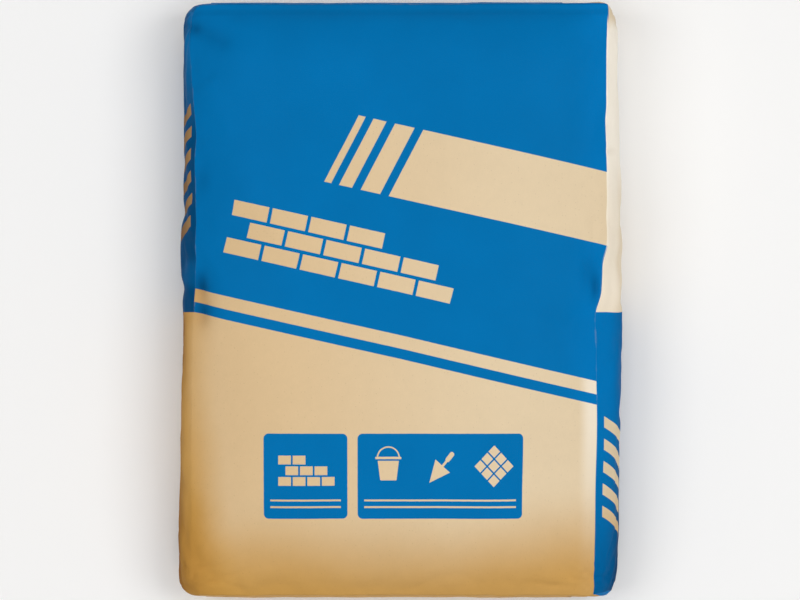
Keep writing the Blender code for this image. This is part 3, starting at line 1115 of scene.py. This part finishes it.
def endInk(u, v):
    # the valve end's left tuck and the plain end's right tuck come from the blue halves of the gussets,
    # and the front panel's own print runs on over the crease
    layout, panelHalf = endPrint, panelMap["halfWidth"]
    atValve = pastMiddle(v)
    onRight = rising(u, layout["tuckFrom"], layout["tuckFrom"] + layout["edge"])
    tucks = biggest(atValve * (1 - onRight), (1 - atValve) * onRight)
    pastCrease = abs(v) - panelMap["halfLength"]
    inPanel = falling(abs(u) + pastCrease * layout["slant"], panelHalf - layout["edge"], panelHalf)
    overCrease = falling(pastCrease, layout["runsOver"] - layout["edge"], layout["runsOver"]) * inPanel
    return tucks * (1 - overCrease) + atValve * overCrease


def backInk(u, v):
    layout = backPrint
    side = u - sackShape["backPlace"]
    field, stripe, foot = (band(side, v, 0.0, layout["half"], layout[name])
                           for name in ("field", "stripe", "foot"))
    return biggest(field * (1 - brickWall(side, v, layout)), stripe, foot)


def newFinish(name):
    material = bpy.data.materials.new(name)
    material.use_nodes = True
    tree = material.node_tree
    return material, tree, tree.nodes["Principled BSDF"].inputs


def bumped(tree, height):
    # for a height in metres
    return addNode(tree, "ShaderNodeBump", {"Height": height, "Distance": 1.0, "Strength": 1.0}).outputs[0]


# tones of the bare sheet and its print: real golden, pale and printed tones, with painted shade and painted
# highlights among them
sheetLook = {
    # a change lies between two places of the paper map, across or along; a third number is its strength
    "wobble": (240.0, 0.0002),            # noise scale and reach of the print's uneven edges
    "soft": (14.0, 0.014),                # the same for the borders of the golden, shaded and pale paper
    "bareMargin": ((0.1867, 0.1871), (0.030, 0.060), (0.246, 0.256)),   # right crease: across, from and to
    "golden": (-0.20, 0.15, 0.40),        # golden tone with painted shade, from the left crease across to the right
    "leftCrease": (-0.206, -0.160),       # more over the left crease, and further in near the foot
    "leftSpread": (-0.250, -0.080, 0.020),
    "leftDeepens": (-0.230, -0.140, 0.16),
    "foot": (-0.272, -0.178, 0.90),       # golden tone with painted shade towards the plain end, climbing on the right
    "footSoft": 0.7,
    "footClimbs": (0.02, 0.18, 0.020),
    "leftFoot": ((-0.200, -0.020), (-0.262, -0.190), 0.45),
    "back": 0.35,
    "backFrom": (0.5, 0.6),               # anywhere between the two panels
    "bleachedMargin": (0.1862, 0.1868),   # the right gusset, with the front's margin beside it
    "bleachedFrom": (-0.080, 0.020),
    "bleachedMore": (0.060, 0.150, 0.35),
    "bleachedTo": (0.240, 0.256, 0.85),
    "bleachedSoft": 0.3,
    # painted shade along the right gusset's outline
    "shadedOutline": ((0.202, 0.216), (0.070, 0.130), 0.45),
    "besideCrease": ((0.1690, 0.1820), (0.000, 0.040)),    # a painted highlight on the front beside the right crease, below the change
    "besideSoft": 0.15,
    "besideMore": (-0.200, -0.100, 0.35),
    "besideLeast": 0.20,
    "umberShadeFade": 0.036,                   # painted shade: the left gusset darkens to umber over this width from its crease
    "umberShadeFoot": (-0.230, -0.130, 0.45),
    "umberShadeMiddle": (-0.110, -0.045, 0.32),
    "umberShadeLeast": 0.42,
    # painted shade in umber at the left corner of the foot
    "cornerFoot": ((-0.200, -0.150), (-0.262, -0.150), 0.52),
    "barShade": (-0.012, 0.000, 0.42),       # painted shade on the left gusset's bars
    "pressedShade": 0.6,                        # the bare sheet takes this share of the painted shade that darkens the ink in dents and folds
}
inkWearAndPaintedLight = {
    "foldWidth": 0.0014,
    "foldRubAndHighlight": ((-0.180, -0.170), (-0.010, 0.060), 0.28),   # rubbing along the left crease below the pinch, strong enough to also paint in the fold's highlight
    "foldLeast": 0.12,
    "pressed": 0.62,                      # painted shade in dents and folds
    "groove": 0.2572,                     # middle of the groove behind the valve end's crease, where the ink gets painted shade
    "grooveFades": (0.0010, 0.0045, 0.12),
    # painted shade on the ink towards the valve end's crease
    "valveCreaseShade": (0.2630, 0.2660, 0.32),
    "leftAlong": (0.130, 0.250, 0.70),    # painted shade on the left gusset: darker towards the foot and away from the crease
    "leftAcross": (0.190, 0.216, 0.60),
    "gleam": 0.024,                       # painted highlight where it bulges, round this height
    "gleamFades": ((0.205, 0.222), (0.004, 0.018), 0.26),
    "rightAcross": (0.006, 0.050, 0.52),  # painted shade on the right gusset, from its crease
    # painted shade on the right gusset towards the foot
    "rightAlong": (-0.262, -0.120, 0.38),
    "bright": (0.150, 0.184, 0.6),        # painted highlight on the ink towards the right crease
}
printedPaper = {
    "clouds": 0.06,
    "fibres": 0.07,
    "roughness": (0.60, 0.47),            # bare and inked
    "creaseScale": 24.0,
    "foldCreases": (0.004, 0.060, 0.22),  # creases in the relief fade away from the folds
    "creasesLeast": 0.05,
    "backClear": 0.05,                    # keeps the front's folds off the back panel
    "gussetCreases": 1.1,
    "endCreases": 0.8,
    "backCreases": 0.6,
    "relief": (0.0021, 0.00006),          # height of the creases and of the fibres
    "specular": 0.015,
}
pastedPaper = {
    "clouds": 0.10,
    "fibres": 0.11,
    "roughness": (0.68, 0.50),
    "creases": (30.0, 0.8),               # scale and amount
    "scuffScale": (45, 160, 1),
    "scuffEdge": (0.16, 0.30),
    "scuffed": 0.10,
    "relief": (0.0016, 0.00008),
    "specular": 0.08,
}


def ramp(change, value, span):
    low, high, strength = span
    return change(value, low, high) * strength


def whereBoth(changeU, u, changeV, v, spans):
    spanU, spanV, strength = spans
    return changeU(u, *spanU) * changeV(v, *spanV) * strength


def upToFull(change, value, span):
    # a ramp that ends at 1 and starts as far below it as it is strong
    return ramp(change, value, span) + (1 - span[2])


def paperSpot(tree, paper):
    # where a point lies on the paper map, and which of the sack's panels it is on
    u, v, _ = vectorParts(tree, paper)
    wobbleScale, wobble = sheetLook["wobble"]
    softScale, soft = sheetLook["soft"]
    panelHalf, halfLength = panelMap.values()
    past = 0.00005
    onBack = rising(u, *sheetLook["backFrom"])
    return SimpleNamespace(
        u=u, v=v, onBack=onBack,
        inkU=u + noiseField(tree, paper, wobbleScale) * wobble,
        inkV=v + noiseField(tree, stretched(tree, paper, (-1, 1, 1)), wobbleScale) * wobble,
        soft=noiseField(tree, paper, softScale, 3.0) * soft,
        onGusset=rising(abs(u), panelHalf - past, panelHalf + past) * (1 - onBack),
        onEnd=rising(abs(v), halfLength - past, halfLength + past),
        onRight=pastMiddle(u),
    )


def sackInk(spot):
    # 1 where the sack is printed; the front's ink stops just short of the right crease
    across, begins, ends = sheetLook["bareMargin"]
    shyOfCrease = 1 - rising(spot.inkU, *across) * rising(spot.v, *begins) * falling(spot.v, *ends)
    onFront = (1 - spot.onGusset) * (1 - spot.onEnd) * (1 - spot.onBack)
    printed = frontInk(spot.inkU, spot.inkV) * onFront * shyOfCrease
    for panelInk, onPanel in ((gussetInk, spot.onGusset), (endInk, spot.onEnd), (backInk, spot.onBack)):
        printed = biggest(printed, panelInk(spot.inkU, spot.inkV) * onPanel)
    return printed


def footGoldenAndShaded(spot):
    # golden tone with painted shade towards the plain end
    climb = ramp(rising, spot.u, sheetLook["footClimbs"])
    return ramp(falling, spot.v + spot.soft * sheetLook["footSoft"] - climb, sheetLook["foot"])


def goldenAndShaded(spot):
    # golden paper tone, with painted shade, towards the plain end and over the left crease
    tones, u, v, soft = sheetLook, spot.u, spot.v, spot.soft
    across = ramp(falling, u, tones["golden"])
    spread = ramp(falling, v, tones["leftSpread"])
    overLeft = falling(u + soft - spread, *tones["leftCrease"]) * upToFull(falling, v, tones["leftDeepens"])
    leftFoot = whereBoth(falling, u, falling, v + soft, tones["leftFoot"])
    paleShare = (1 - across) * (1 - overLeft) * (1 - footGoldenAndShaded(spot)) * (1 - leftFoot)
    return (1 - paleShare) * (1 - spot.onBack) + spot.onBack * tones["back"]


def paleAndHighlit(spot):
    # pale paper along the right gusset, with painted shade near its outline, and a fainter painted highlight
    # on the front beside it
    tones, u, v, soft = sheetLook, spot.u, spot.v, spot.soft
    margin = biggest(spot.onGusset, rising(spot.inkU, *tones["bleachedMargin"])) * (1 - spot.onBack)
    gusset = margin * spot.onRight * rising(v + soft, *tones["bleachedFrom"])
    gusset = gusset * upToFull(rising, v, tones["bleachedMore"])
    gusset = gusset * (1 - ramp(rising, v + soft * tones["bleachedSoft"], tones["bleachedTo"]))
    # painted shade near the right gusset's outline, where the pale gives way to tan
    gusset = gusset * (1 - whereBoth(rising, u, falling, v, tones["shadedOutline"]))
    spanU, spanV = tones["besideCrease"]
    # painted highlight on the front beside the right crease
    beside = rising(u + soft * tones["besideSoft"], *spanU) * falling(v, *spanV) * (1 - spot.onGusset)
    beside = beside * (ramp(rising, v, tones["besideMore"]) + tones["besideLeast"])
    return biggest(gusset, beside * (1 - footGoldenAndShaded(spot)))


def leftUmberShade(spot):
    # painted shade in umber over the left gusset and the left corner of the foot
    tones, v, soft, panelHalf = sheetLook, spot.v, spot.soft, panelMap["halfWidth"]
    strength = ramp(falling, v + soft, tones["umberShadeFoot"]) + ramp(rising, v, tones["umberShadeMiddle"])
    gusset = spot.onGusset * (1 - spot.onRight) * (strength + tones["umberShadeLeast"])
    gusset = gusset * rising(abs(spot.u), panelHalf, panelHalf + tones["umberShadeFade"])
    foot = whereBoth(falling, spot.u + soft, falling, v + soft, tones["cornerFoot"])
    return biggest(gusset, foot * (1 - spot.onBack))


def sheetColour(tree, spot, kraft, pressedShade):
    # painted shade in umber over the left gusset and the foot corner
    sheet = mixColours(tree, leftUmberShade(spot), kraft, paperColours["umberShade"])
    # pale paper on the right gusset, and a painted highlight beside its crease
    sheet = mixColours(tree, paleAndHighlit(spot), sheet, paperColours["paleAndHighlit"])
    # painted shade over the bars on the left gusset
    barShade = spot.onGusset * (1 - spot.onRight) * ramp(rising, spot.v, sheetLook["barShade"])
    sheet = mixColours(tree, barShade, sheet, paperColours["barShade"])
    # painted shade from dents, folds and the groove, on the bare sheet
    return mixColours(tree, pressedShade * sheetLook["pressedShade"], sheet, paperColours["umberShade"])


def inkColour(tree, spot, pressedShade):
    # the ink, with painted shade on the gussets, in dents and along the valve crease, and painted highlights
    marks, u, v = inkWearAndPaintedLight, spot.u, spot.v
    # painted highlight where the left gusset bulges
    gleam = whereBoth(falling, abs(u), falling, abs(v - marks["gleam"]), marks["gleamFades"])
    leftShade = biggest(ramp(falling, v, marks["leftAlong"]) - gleam, ramp(rising, abs(u), marks["leftAcross"]))
    rightShade = ramp(rising, u - panelMap["halfWidth"], marks["rightAcross"])
    rightShade = rightShade + ramp(falling, v, marks["rightAlong"])
    # painted shade on the ink along the valve end's crease
    atCrease = ramp(rising, v, marks["valveCreaseShade"]) * (1 - spot.onBack) * (1 - spot.onGusset)
    shade = biggest(spot.onGusset * (1 - spot.onRight) * leftShade, spot.onGusset * spot.onRight * rightShade,
                    pressedShade, atCrease)
    # painted highlight on the ink towards the right crease
    inkWithHighlight = mixColours(tree, ramp(rising, u, marks["bright"]), paperColours["ink"], paperColours["highlitInk"])
    return mixColours(tree, shade, inkWithHighlight, paperColours["shadedInk"])


def finishPaper(tree, shader, look, printed, creases, fibre):
    creaseHeight, fibreHeight = look["relief"]
    height = Field(creases["Height"]) * creaseHeight + Field(fibre["Height"]) * fibreHeight
    plug(shader["Base Color"], printed["Color"])
    plug(shader["Roughness"], printed["Roughness"])
    plug(shader["Normal"], bumped(tree, height))
    shader["Specular IOR Level"].default_value = look["specular"]


def makePrintedKraft():
    material, tree, shader = newFinish("printedKraft")
    paper = addNode(tree, "ShaderNodeUVMap", uv_map="paper").outputs["UV"]
    spot, look, marks = paperSpot(tree, paper), printedPaper, inkWearAndPaintedLight
    panelHalf, halfLength = panelMap.values()

    toGussetFold = abs(abs(spot.u) - panelHalf)
    toFold = toGussetFold.maths("MINIMUM", abs(abs(spot.v) - halfLength)) + spot.onBack * look["backClear"]
    # rubbing on the left crease below the pinch, which also paints in the fold's highlight
    rubbed = whereBoth(falling, spot.u, falling, spot.v, marks["foldRubAndHighlight"]) * (1 - spot.onEnd)
    rub = useGroup(tree, foldRub, {
        "Place": paper, "Distance": toFold, "Width": marks["foldWidth"], "Amount": rubbed + marks["foldLeast"],
    })
    pressed = Field(addNode(tree, "ShaderNodeAttribute", attribute_name="pressed").outputs["Fac"])
    # painted shade in dents and folds, and in the groove behind the valve end's crease
    groove = ramp(falling, abs(spot.v - marks["groove"]), marks["grooveFades"])
    pressedShade = biggest(pressed * marks["pressed"], groove * (1 - spot.onGusset) * (1 - spot.onBack))

    fibre = useGroup(tree, kraftFibre, {
        "Place": paper, "Pale": paperColours["pale"], "Golden": paperColours["golden"],
        "Golden Share": goldenAndShaded(spot), "Clouds": look["clouds"], "Fibres": look["fibres"],
    })
    bareRoughness, inkRoughness = look["roughness"]
    printed = useGroup(tree, inkOnPaper, {
        "Place": paper, "Paper": sheetColour(tree, spot, fibre["Color"], pressedShade),
        "Ink": inkColour(tree, spot, pressedShade), "Mask": sackInk(spot), "Rubbed": rub["Mask"],
        "Bare Roughness": bareRoughness, "Ink Roughness": inkRoughness,
    })
    atFolds = ramp(falling, toFold, look["foldCreases"]) + look["creasesLeast"]
    creases = useGroup(tree, pressedCreases, {
        "Place": paper, "Scale": look["creaseScale"],
        "Amount": biggest(atFolds, spot.onGusset * look["gussetCreases"], spot.onEnd * look["endCreases"],
                          spot.onBack * look["backCreases"]),
    })
    finishPaper(tree, shader, look, printed, creases, fibre)
    return material


def makePastedPaper(name, pale, inked, browning):
    # the strips and flaps on the ends: bare kraft, or kraft printed all over
    material, tree, shader = newFinish(name)
    look = pastedPaper
    paper = addNode(tree, "ShaderNodeUVMap", uv_map="paper").outputs["UV"]
    fibre = useGroup(tree, kraftFibre, {
        "Place": paper, "Pale": pale, "Golden": paperColours["golden"], "Golden Share": browning,
        "Clouds": look["clouds"], "Fibres": look["fibres"],
    })
    creaseScale, creaseAmount = look["creases"]
    creases = useGroup(tree, pressedCreases, {"Place": paper, "Scale": creaseScale, "Amount": creaseAmount})
    scuffed = noiseField(tree, stretched(tree, paper, look["scuffScale"]), 1.0, 4.0, 0.7)
    bareRoughness, inkRoughness = look["roughness"]
    printed = useGroup(tree, inkOnPaper, {
        "Place": paper, "Paper": fibre["Color"], "Ink": paperColours["ink"], "Mask": float(inked),
        "Rubbed": rising(scuffed, *look["scuffEdge"]) * look["scuffed"],
        "Bare Roughness": bareRoughness, "Ink Roughness": inkRoughness,
    })
    finishPaper(tree, shader, look, printed, creases, fibre)
    return material


powderLook = {
    "lumps": (60.0, 0.22, 0.0012),        # noise scale, and how far it changes the tone and the height
    "grains": (2600.0, 0.25, 0.0003),
    "roughness": (0.93, 0.10),            # and how far the grains change it
}


def makePowder():
    material, tree, shader = newFinish("cementPowder")
    place = addNode(tree, "ShaderNodeTexCoord").outputs["Object"]
    lumpScale, lumpTone, lumpHeight = powderLook["lumps"]
    grainScale, grainTone, grainHeight = powderLook["grains"]
    lumps = noiseField(tree, place, lumpScale, 5.0, 0.65, "3D")
    grains = noiseField(tree, place, grainScale, 2.0, 0.7, "3D")
    tone = lumps * lumpTone + grains * grainTone + 1
    roughness, grainRough = powderLook["roughness"]
    plug(shader["Base Color"], toned(tree, paperColours["powder"], tone))
    plug(shader["Roughness"], grains * grainRough + roughness)
    plug(shader["Normal"], bumped(tree, lumps * lumpHeight + grains * grainHeight))
    return material


floorLook = {"colour": (0.94, 0.94, 0.938, 1), "mottleScale": 3.0, "mottle": 0.02, "roughness": 0.75}


def makeFloorFinish():
    material, tree, shader = newFinish("paleFloor")
    place = addNode(tree, "ShaderNodeTexCoord").outputs["Object"]
    mottle = noiseField(tree, place, floorLook["mottleScale"], 4.0, dimensions="3D")
    tone = mottle * floorLook["mottle"] + 1
    plug(shader["Base Color"], toned(tree, floorLook["colour"], tone))
    shader["Roughness"].default_value = floorLook["roughness"]
    return material


pastedPapers = {
    # colour of the bare sheet, whether it is printed all over, and how browned it is
    "bluePaper": ("pale", True, 0.20),
    "plainPaper": ("pale", False, 0.20),
    "goldenPaper": ("pale", False, 0.76),
    "sleevePaper": ("sleeve", False, 0.15),
}

print("finishes")
printedKraft = makePrintedKraft()
bluePaper, plainPaper, goldenPaper, sleevePaper = (
    makePastedPaper(name, paperColours[colour], inked, browning)
    for name, (colour, inked, browning) in pastedPapers.items())
cementPowder = makePowder()
paleFloor = makeFloorFinish()
sackMesh.materials.append(printedKraft)
fill.data.materials.clear()
fill.data.materials.append(cementPowder)


# Sheets pasted on the ends and along the back: each follows the sack and whatever lies under it

def flatSheet(tree, given):
    # a grid whose points know how far along and across the sheet they lie
    grid = addNode(tree, "GeometryNodeMeshGrid", {
        "Size X": 1.0, "Size Y": 1.0, "Vertices X": given["Columns"], "Vertices Y": given["Rows"]})
    gridX, gridY, _ = vectorParts(tree, addNode(tree, "GeometryNodeInputPosition").outputs[0])
    share = gridY + 0.5
    notchHalf, notchDepth, _ = vectorParts(tree, given["Notch"])
    fromMiddle = gridX * given["Width"] / notchHalf
    notch = (1 - fromMiddle * fromMiddle).maths("MAXIMUM", 0.0).maths("SQRT") * notchDepth
    column = ((gridX + 0.5) * (Field(given["Columns"]) - 1)).maths("ROUND")
    onFarEdge = share.maths("GREATER_THAN", 0.999)
    tooth = (column % 2.0) * given["Tooth"] * onFarEdge
    along = share * (Field(given["Length"]) - notch) - tooth
    across = gridX * 2 * (Field(given["Width"]) * 0.5 - Field(given["Slant"]) * along)
    captured = addNode(tree, "GeometryNodeCaptureAttribute", {"Geometry": grid.outputs["Mesh"]})
    for name, value in (("Across", across), ("Along", along), ("Share", gridX)):
        captured.capture_items.new("FLOAT", name)
        plug(captured.inputs[name], value)
    across, along, share = (Field(captured.outputs[name]) for name in ("Across", "Along", "Share"))
    return captured.outputs["Geometry"], across, along, share


def onPaperMap(tree, given, across, along):
    towardsU, towardsV, _ = vectorParts(tree, given["Towards"])
    startU, startV, _ = vectorParts(tree, given["Start"])
    paperU = startU + towardsU * along + towardsV * across
    paperV = startV + towardsV * along - towardsU * across
    return addNode(tree, "ShaderNodeCombineXYZ", {"X": paperU, "Y": paperV}).outputs[0]


def onSack(tree, given, paper):
    # where a place of the paper map lies on the sack, and which way is out there
    sack = addNode(tree, "GeometryNodeObjectInfo", {"Object": given["Sack"]}, transform_space="RELATIVE")
    paperMap = addNode(tree, "GeometryNodeInputNamedAttribute", {"Name": "paper"}, data_type="FLOAT_VECTOR")
    found = []
    for kind in ("GeometryNodeInputPosition", "GeometryNodeInputNormal"):
        sampler = addNode(tree, "GeometryNodeSampleUVSurface", {
            "Mesh": sack.outputs["Geometry"], "Value": addNode(tree, kind).outputs[0],
            "UV Map": paperMap.outputs[0], "Sample UV": paper}, data_type="FLOAT_VECTOR")
        found.append(sampler.outputs["Value"])
    return found[0], vectorMaths(tree, "NORMALIZE", found[1])


def draped(tree, given, spot, outwards):
    # down onto whatever was pasted there before, and smoothed over its edges
    layers = addNode(tree, "GeometryNodeCollectionInfo", {"Collection": given["Under"]},
                     transform_space="RELATIVE")
    under = addNode(tree, "GeometryNodeRealizeInstances", {"Geometry": layers.outputs[0]})
    ray = addNode(tree, "GeometryNodeRaycast", {
        "Target Geometry": under.outputs[0],
        "Source Position": vectorMaths(tree, "ADD", spot, scaledBy(tree, outwards, given["Drop"])),
        "Ray Direction": scaledBy(tree, outwards, -1.0), "Ray Length": given["Reach"]})
    landed = addNode(tree, "GeometryNodeSwitch", {
        "Switch": ray.outputs["Is Hit"], "False": spot, "True": ray.outputs["Hit Position"]},
        input_type="VECTOR")
    smooth = addNode(tree, "GeometryNodeBlurAttribute", {
        "Value": landed.outputs[0], "Iterations": given["Drape"]}, data_type="FLOAT_VECTOR")
    return smooth.outputs["Value"]


def lifted(tree, given, along, share):
    # height over what it lies on: the first edge sinks in and the far edge curls up in its middle
    sinkLength, sinkDepth, _ = vectorParts(tree, given["Sink"])
    curlLength, curlHeight, _ = vectorParts(tree, given["Curl"])
    sunk = 1 - rising(along / sinkLength, 0.0, 1.0)
    curled = rising(1 - (Field(given["Length"]) - along) / curlLength, 0.0, 1.0)
    middle = share * 2
    flat = Field(given["Lift"]) * (1 - sunk) - sinkDepth * sunk
    return flat + curled * curlHeight * (1 - middle * middle)


def makePastedSheetTree():
    tree, given, result = newGroup("pastedSheet", "GeometryNodeTree", {
        "Geometry": ("Geometry", None),
        "Sack": ("Object", None),
        "Under": ("Collection", None),
        "Start": ("Vector", (0, 0, 0)),       # middle of the sheet's first edge, on the paper map
        "Towards": ("Vector", (0, 1, 0)),     # the way it runs from there
        "Width": ("Float", 0.3),
        "Length": ("Float", 0.05),
        "Slant": ("Float", 0.0),              # how fast it narrows on each side
        "Columns": ("Int", 100),
        "Rows": ("Int", 20),
        "Tooth": ("Float", 0.0),              # depth of the pinked far edge
        "Notch": ("Vector", (1, 0, 0)),       # half width and depth of a thumb cut in the far edge
        "Drop": ("Float", 0.012),             # it comes down from this height over the sack
        "Reach": ("Float", 0.020),            # and lands on what it meets within this far
        "Lift": ("Float", 0.0003),
        "Sink": ("Vector", (0.001, 0, 0)),    # length and depth of the first edge's dip into the surface
        "Curl": ("Vector", (0.01, 0, 0)),     # length and height of the far edge's curl
        "Drape": ("Int", 3),
        "Paper": ("Material", None),
    }, {"Geometry": "Geometry"})
    tree.is_modifier = True
    sheet, across, along, share = flatSheet(tree, given)
    paper = onPaperMap(tree, given, across, along)
    mapped = addNode(tree, "GeometryNodeStoreNamedAttribute", {
        "Geometry": sheet, "Name": "paper", "Value": paper}, data_type="FLOAT2", domain="CORNER")
    spot, outwards = onSack(tree, given, paper)
    height = scaledBy(tree, outwards, lifted(tree, given, along, share))
    place = vectorMaths(tree, "ADD", draped(tree, given, spot, outwards), height)
    made = mapped.outputs["Geometry"]
    for kind, inputs in (
            ("GeometryNodeSetPosition", {"Position": place}),
            ("GeometryNodeSetShadeSmooth", {}),
            ("GeometryNodeRealizeInstances", {}),
            ("GeometryNodeSetMaterial", {"Material": given["Paper"]})):
        made = addNode(tree, kind, {"Geometry": made, **inputs}).outputs["Geometry"]
    plug(result["Geometry"], made)
    return tree


def setInputs(modifier, values):
    for item in modifier.node_group.interface.items_tree:
        if item.item_type == "SOCKET" and item.in_out == "INPUT" and item.name in values:
            modifier[item.identifier] = values[item.name]


endSheets = {
    "cell": 0.0022,               # size of the sheets' faces
    "paper": 0.00035,             # thickness
    "lift": 0.00015,
    "flapWidth": 0.370,
    "flapLength": 0.052,
    "flapFrom": 0.0005,           # from its crease
    "flapSlant": 0.96,
    "flapSink": (0.006, 0.0007, 0),
    "flapDrape": 3,
    "tooth": 0.0012,
    "patchLow": 0.0775,           # from the front crease down the end
    "patchHigh": 0.0075,
    "patchLift": 0.00025,
    "patchDrape": 4,
    "edgeSink": (0.0001, 0, 0),   # the patches' and the sleeve's first edge
    "sleeveNotchHalf": 0.014,
    "sleeveCurlOver": 0.022,
    "sleeveLift": 0.0002,
    "sleeveDrape": 2,
    "seamLength": 0.500,
    "seamSink": (0.008, 0.0006, 0),
    "seamDrape": 2,
}
sleevePlies = {
    "sleeveInner": {"past": 0.002, "curl": 0.0, "notch": 0.004},    # how far past the sleeve's own length
    "sleeveOuter": {"past": 0.0, "curl": 0.0016, "notch": 0.009},
}
endStart = panelMap["halfLength"]
endFar = endStart + sackShape["endDepth"]

print("end sheets")
pastedSheet = makePastedSheetTree()
layers = bpy.data.collections.new("endLayers")
bpy.context.scene.collection.children.link(layers)
layers.objects.link(sackSkin)


def pasteSheet(name, material, inputs):
    carrier = addObject(name + "Carrier", bpy.data.meshes.new(name + "Carrier"))
    follow = carrier.modifiers.new("follow the sack", "NODES")
    follow.node_group = pastedSheet
    cells = {count: max(4, round(inputs[side] / endSheets["cell"]))
             for count, side in (("Columns", "Width"), ("Rows", "Length"))}
    setInputs(follow, {**inputs, **cells, "Sack": sackSkin, "Under": layers, "Paper": material})
    body = carrier.modifiers.new("paper", "SOLIDIFY")
    body.thickness = endSheets["paper"]
    body.offset = 1
    mesh = plainMesh(carrier, name)
    bpy.data.objects.remove(carrier)
    sheet = addObject(name, mesh)
    layers.objects.link(sheet)
    return sheet


def flap(name, end, fromFront, material):
    # a panel's end folded over the sack's end, its sides slanting in from the corners
    start = endStart + endSheets["flapFrom"] if fromFront else endFar - endSheets["flapFrom"]
    towards = end if fromFront else -end
    return pasteSheet(name, material, {
        "Start": (0, end * start, 0), "Towards": (0, towards, 0),
        "Width": endSheets["flapWidth"], "Length": endSheets["flapLength"], "Slant": endSheets["flapSlant"],
        "Tooth": endSheets["tooth"], "Lift": endSheets["lift"], "Sink": endSheets["flapSink"],
        "Drape": endSheets["flapDrape"],
    })


def patch(name, end, node, material):
    low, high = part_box(node)
    start = endStart + endSheets["patchHigh"]
    return pasteSheet(name, material, {
        "Start": ((low.x + high.x) / 2, end * start, 0), "Towards": (0, end, 0),
        "Width": high.x - low.x, "Length": endSheets["patchLow"], "Lift": endSheets["patchLift"],
        "Sink": endSheets["edgeSink"], "Drape": endSheets["patchDrape"],
    })


def sleevePly(name, past, curl, notch):
    low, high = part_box("valve_sleeve")
    return pasteSheet(name, sleevePaper, {
        "Start": (low.x, (endStart + endFar) / 2, 0), "Towards": (1, 0, 0),
        "Width": high.z - low.z, "Length": high.x - low.x + past, "Lift": endSheets["sleeveLift"],
        "Notch": (endSheets["sleeveNotchHalf"], notch, 0), "Sink": endSheets["edgeSink"],
        "Curl": (endSheets["sleeveCurlOver"], curl, 0), "Drape": endSheets["sleeveDrape"],
    })


def pasteSeam():
    start = sackShape["backPlace"] - backSeam["middle"] - backSeam["width"] / 2
    return pasteSheet("backSeam", plainPaper, {
        "Start": (start, 0, 0), "Towards": (1, 0, 0),
        "Width": endSheets["seamLength"], "Length": backSeam["width"], "Lift": endSheets["lift"],
        "Sink": endSheets["seamSink"], "Drape": endSheets["seamDrape"],
    })


sleeveSheets = [sleevePly(name, **ply) for name, ply in sleevePlies.items()]
valveFlaps = [flap("valveBackFlap", 1, False, plainPaper), flap("valveFrontFlap", 1, True, bluePaper)]
valvePatch = patch("valveEndPatch", 1, "valve_end_patch", bluePaper)
plainFlaps = [flap("plainBackFlap", -1, False, goldenPaper), flap("plainFrontFlap", -1, True, goldenPaper)]
plainPatch = patch("plainEndPatch", -1, "plain_end_patch", goldenPaper)
seam = pasteSeam()


def joined(name, *pieces):
    # one mesh from several sheets of the same piece of paper
    whole = bmesh.new()
    materials = []
    for piece in pieces:
        start = len(whole.faces)
        whole.from_mesh(piece.data)
        whole.faces.ensure_lookup_table()
        for material in piece.data.materials:
            if material not in materials:
                materials.append(material)
        for face in whole.faces[start:]:
            face.material_index = materials.index(piece.data.materials[face.material_index])
    mesh = bpy.data.meshes.new(name)
    whole.to_mesh(mesh)
    whole.free()
    for material in materials:
        mesh.materials.append(material)
    for piece in pieces:
        bpy.data.objects.remove(piece)
    return addObject(name, mesh)


sleeve = joined("valveSleeve", *sleeveSheets)
flaps = joined("endFlaps", *valveFlaps, *plainFlaps)


# Floor, light and camera

studio = {
    "floor": 12.0,
    "sky": 0.30,
    "lights": {
        "keyRight": {"at": (1.9, 0.2, 3.1), "size": 1.8, "energy": 41, "colour": (1.0, 0.99, 0.98)},
        "fillLeft": {"at": (-1.9, 0.1, 3.1), "size": 1.8, "energy": 33, "colour": (1.0, 0.99, 0.98)},
        "fillValve": {"at": (0.2, 1.9, 3.1), "size": 1.8, "energy": 14, "colour": (0.99, 0.99, 1.0)},
        "fillPlain": {"at": (0.1, -1.9, 3.1), "size": 1.8, "energy": 24, "colour": (1.0, 0.99, 0.97)},
    },
    "lens": 180,
    "widthSeen": 0.7236,         # what the picture's width covers at the sack's outline
    "outlineHeight": 0.05,
}


def addLight(name, at, size, energy, colour):
    light = bpy.data.lights.new(name, "AREA")
    light.size, light.energy, light.color = size, energy, colour
    obj = bpy.data.objects.new(name, light)
    bpy.context.scene.collection.objects.link(obj)
    obj.location = at
    obj.rotation_euler = (-Vector(at)).to_track_quat("-Z", "Y").to_euler()
    obj.visible_camera = False


def addFloor():
    form = bmesh.new()
    bmesh.ops.create_grid(form, x_segments=1, y_segments=1, size=studio["floor"])
    mesh = bpy.data.meshes.new("floor")
    form.to_mesh(mesh)
    form.free()
    obj = addObject("floor", mesh, paleFloor)


print("studio")
addFloor()
for name, values in studio["lights"].items():
    addLight(name, **values)
world = bpy.data.worlds.new("studio")
world.use_nodes = True
background = world.node_tree.nodes["Background"].inputs
background["Color"].default_value = (1.0, 1.0, 1.0, 1)
background["Strength"].default_value = studio["sky"]
bpy.context.scene.world = world
bpy.context.scene.view_settings.view_transform = "Standard"

cameraData = bpy.data.cameras.new("camera")
camera = bpy.data.objects.new("camera", cameraData)
bpy.context.scene.collection.objects.link(camera)
cameraData.lens = studio["lens"]
distance = studio["widthSeen"] * cameraData.lens / cameraData.sensor_width
camera.location = (0, 0, studio["outlineHeight"] + distance)
bpy.context.scene.camera = camera


# What rides on what

for piece, slot in ((sackSkin, "printed_kraft"), (fill, "cement_powder"), (flaps, "printed_kraft"),
                    (seam, "printed_kraft"), (sleeve, "kraft_paper"), (valvePatch, "printed_kraft"),
                    (plainPatch, "kraft_paper")):
    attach(piece, "root")
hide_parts("paper_sack")
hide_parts("cement_fill")
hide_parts("valve_sleeve")
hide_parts("valve_end_patch")
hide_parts("plain_end_patch")
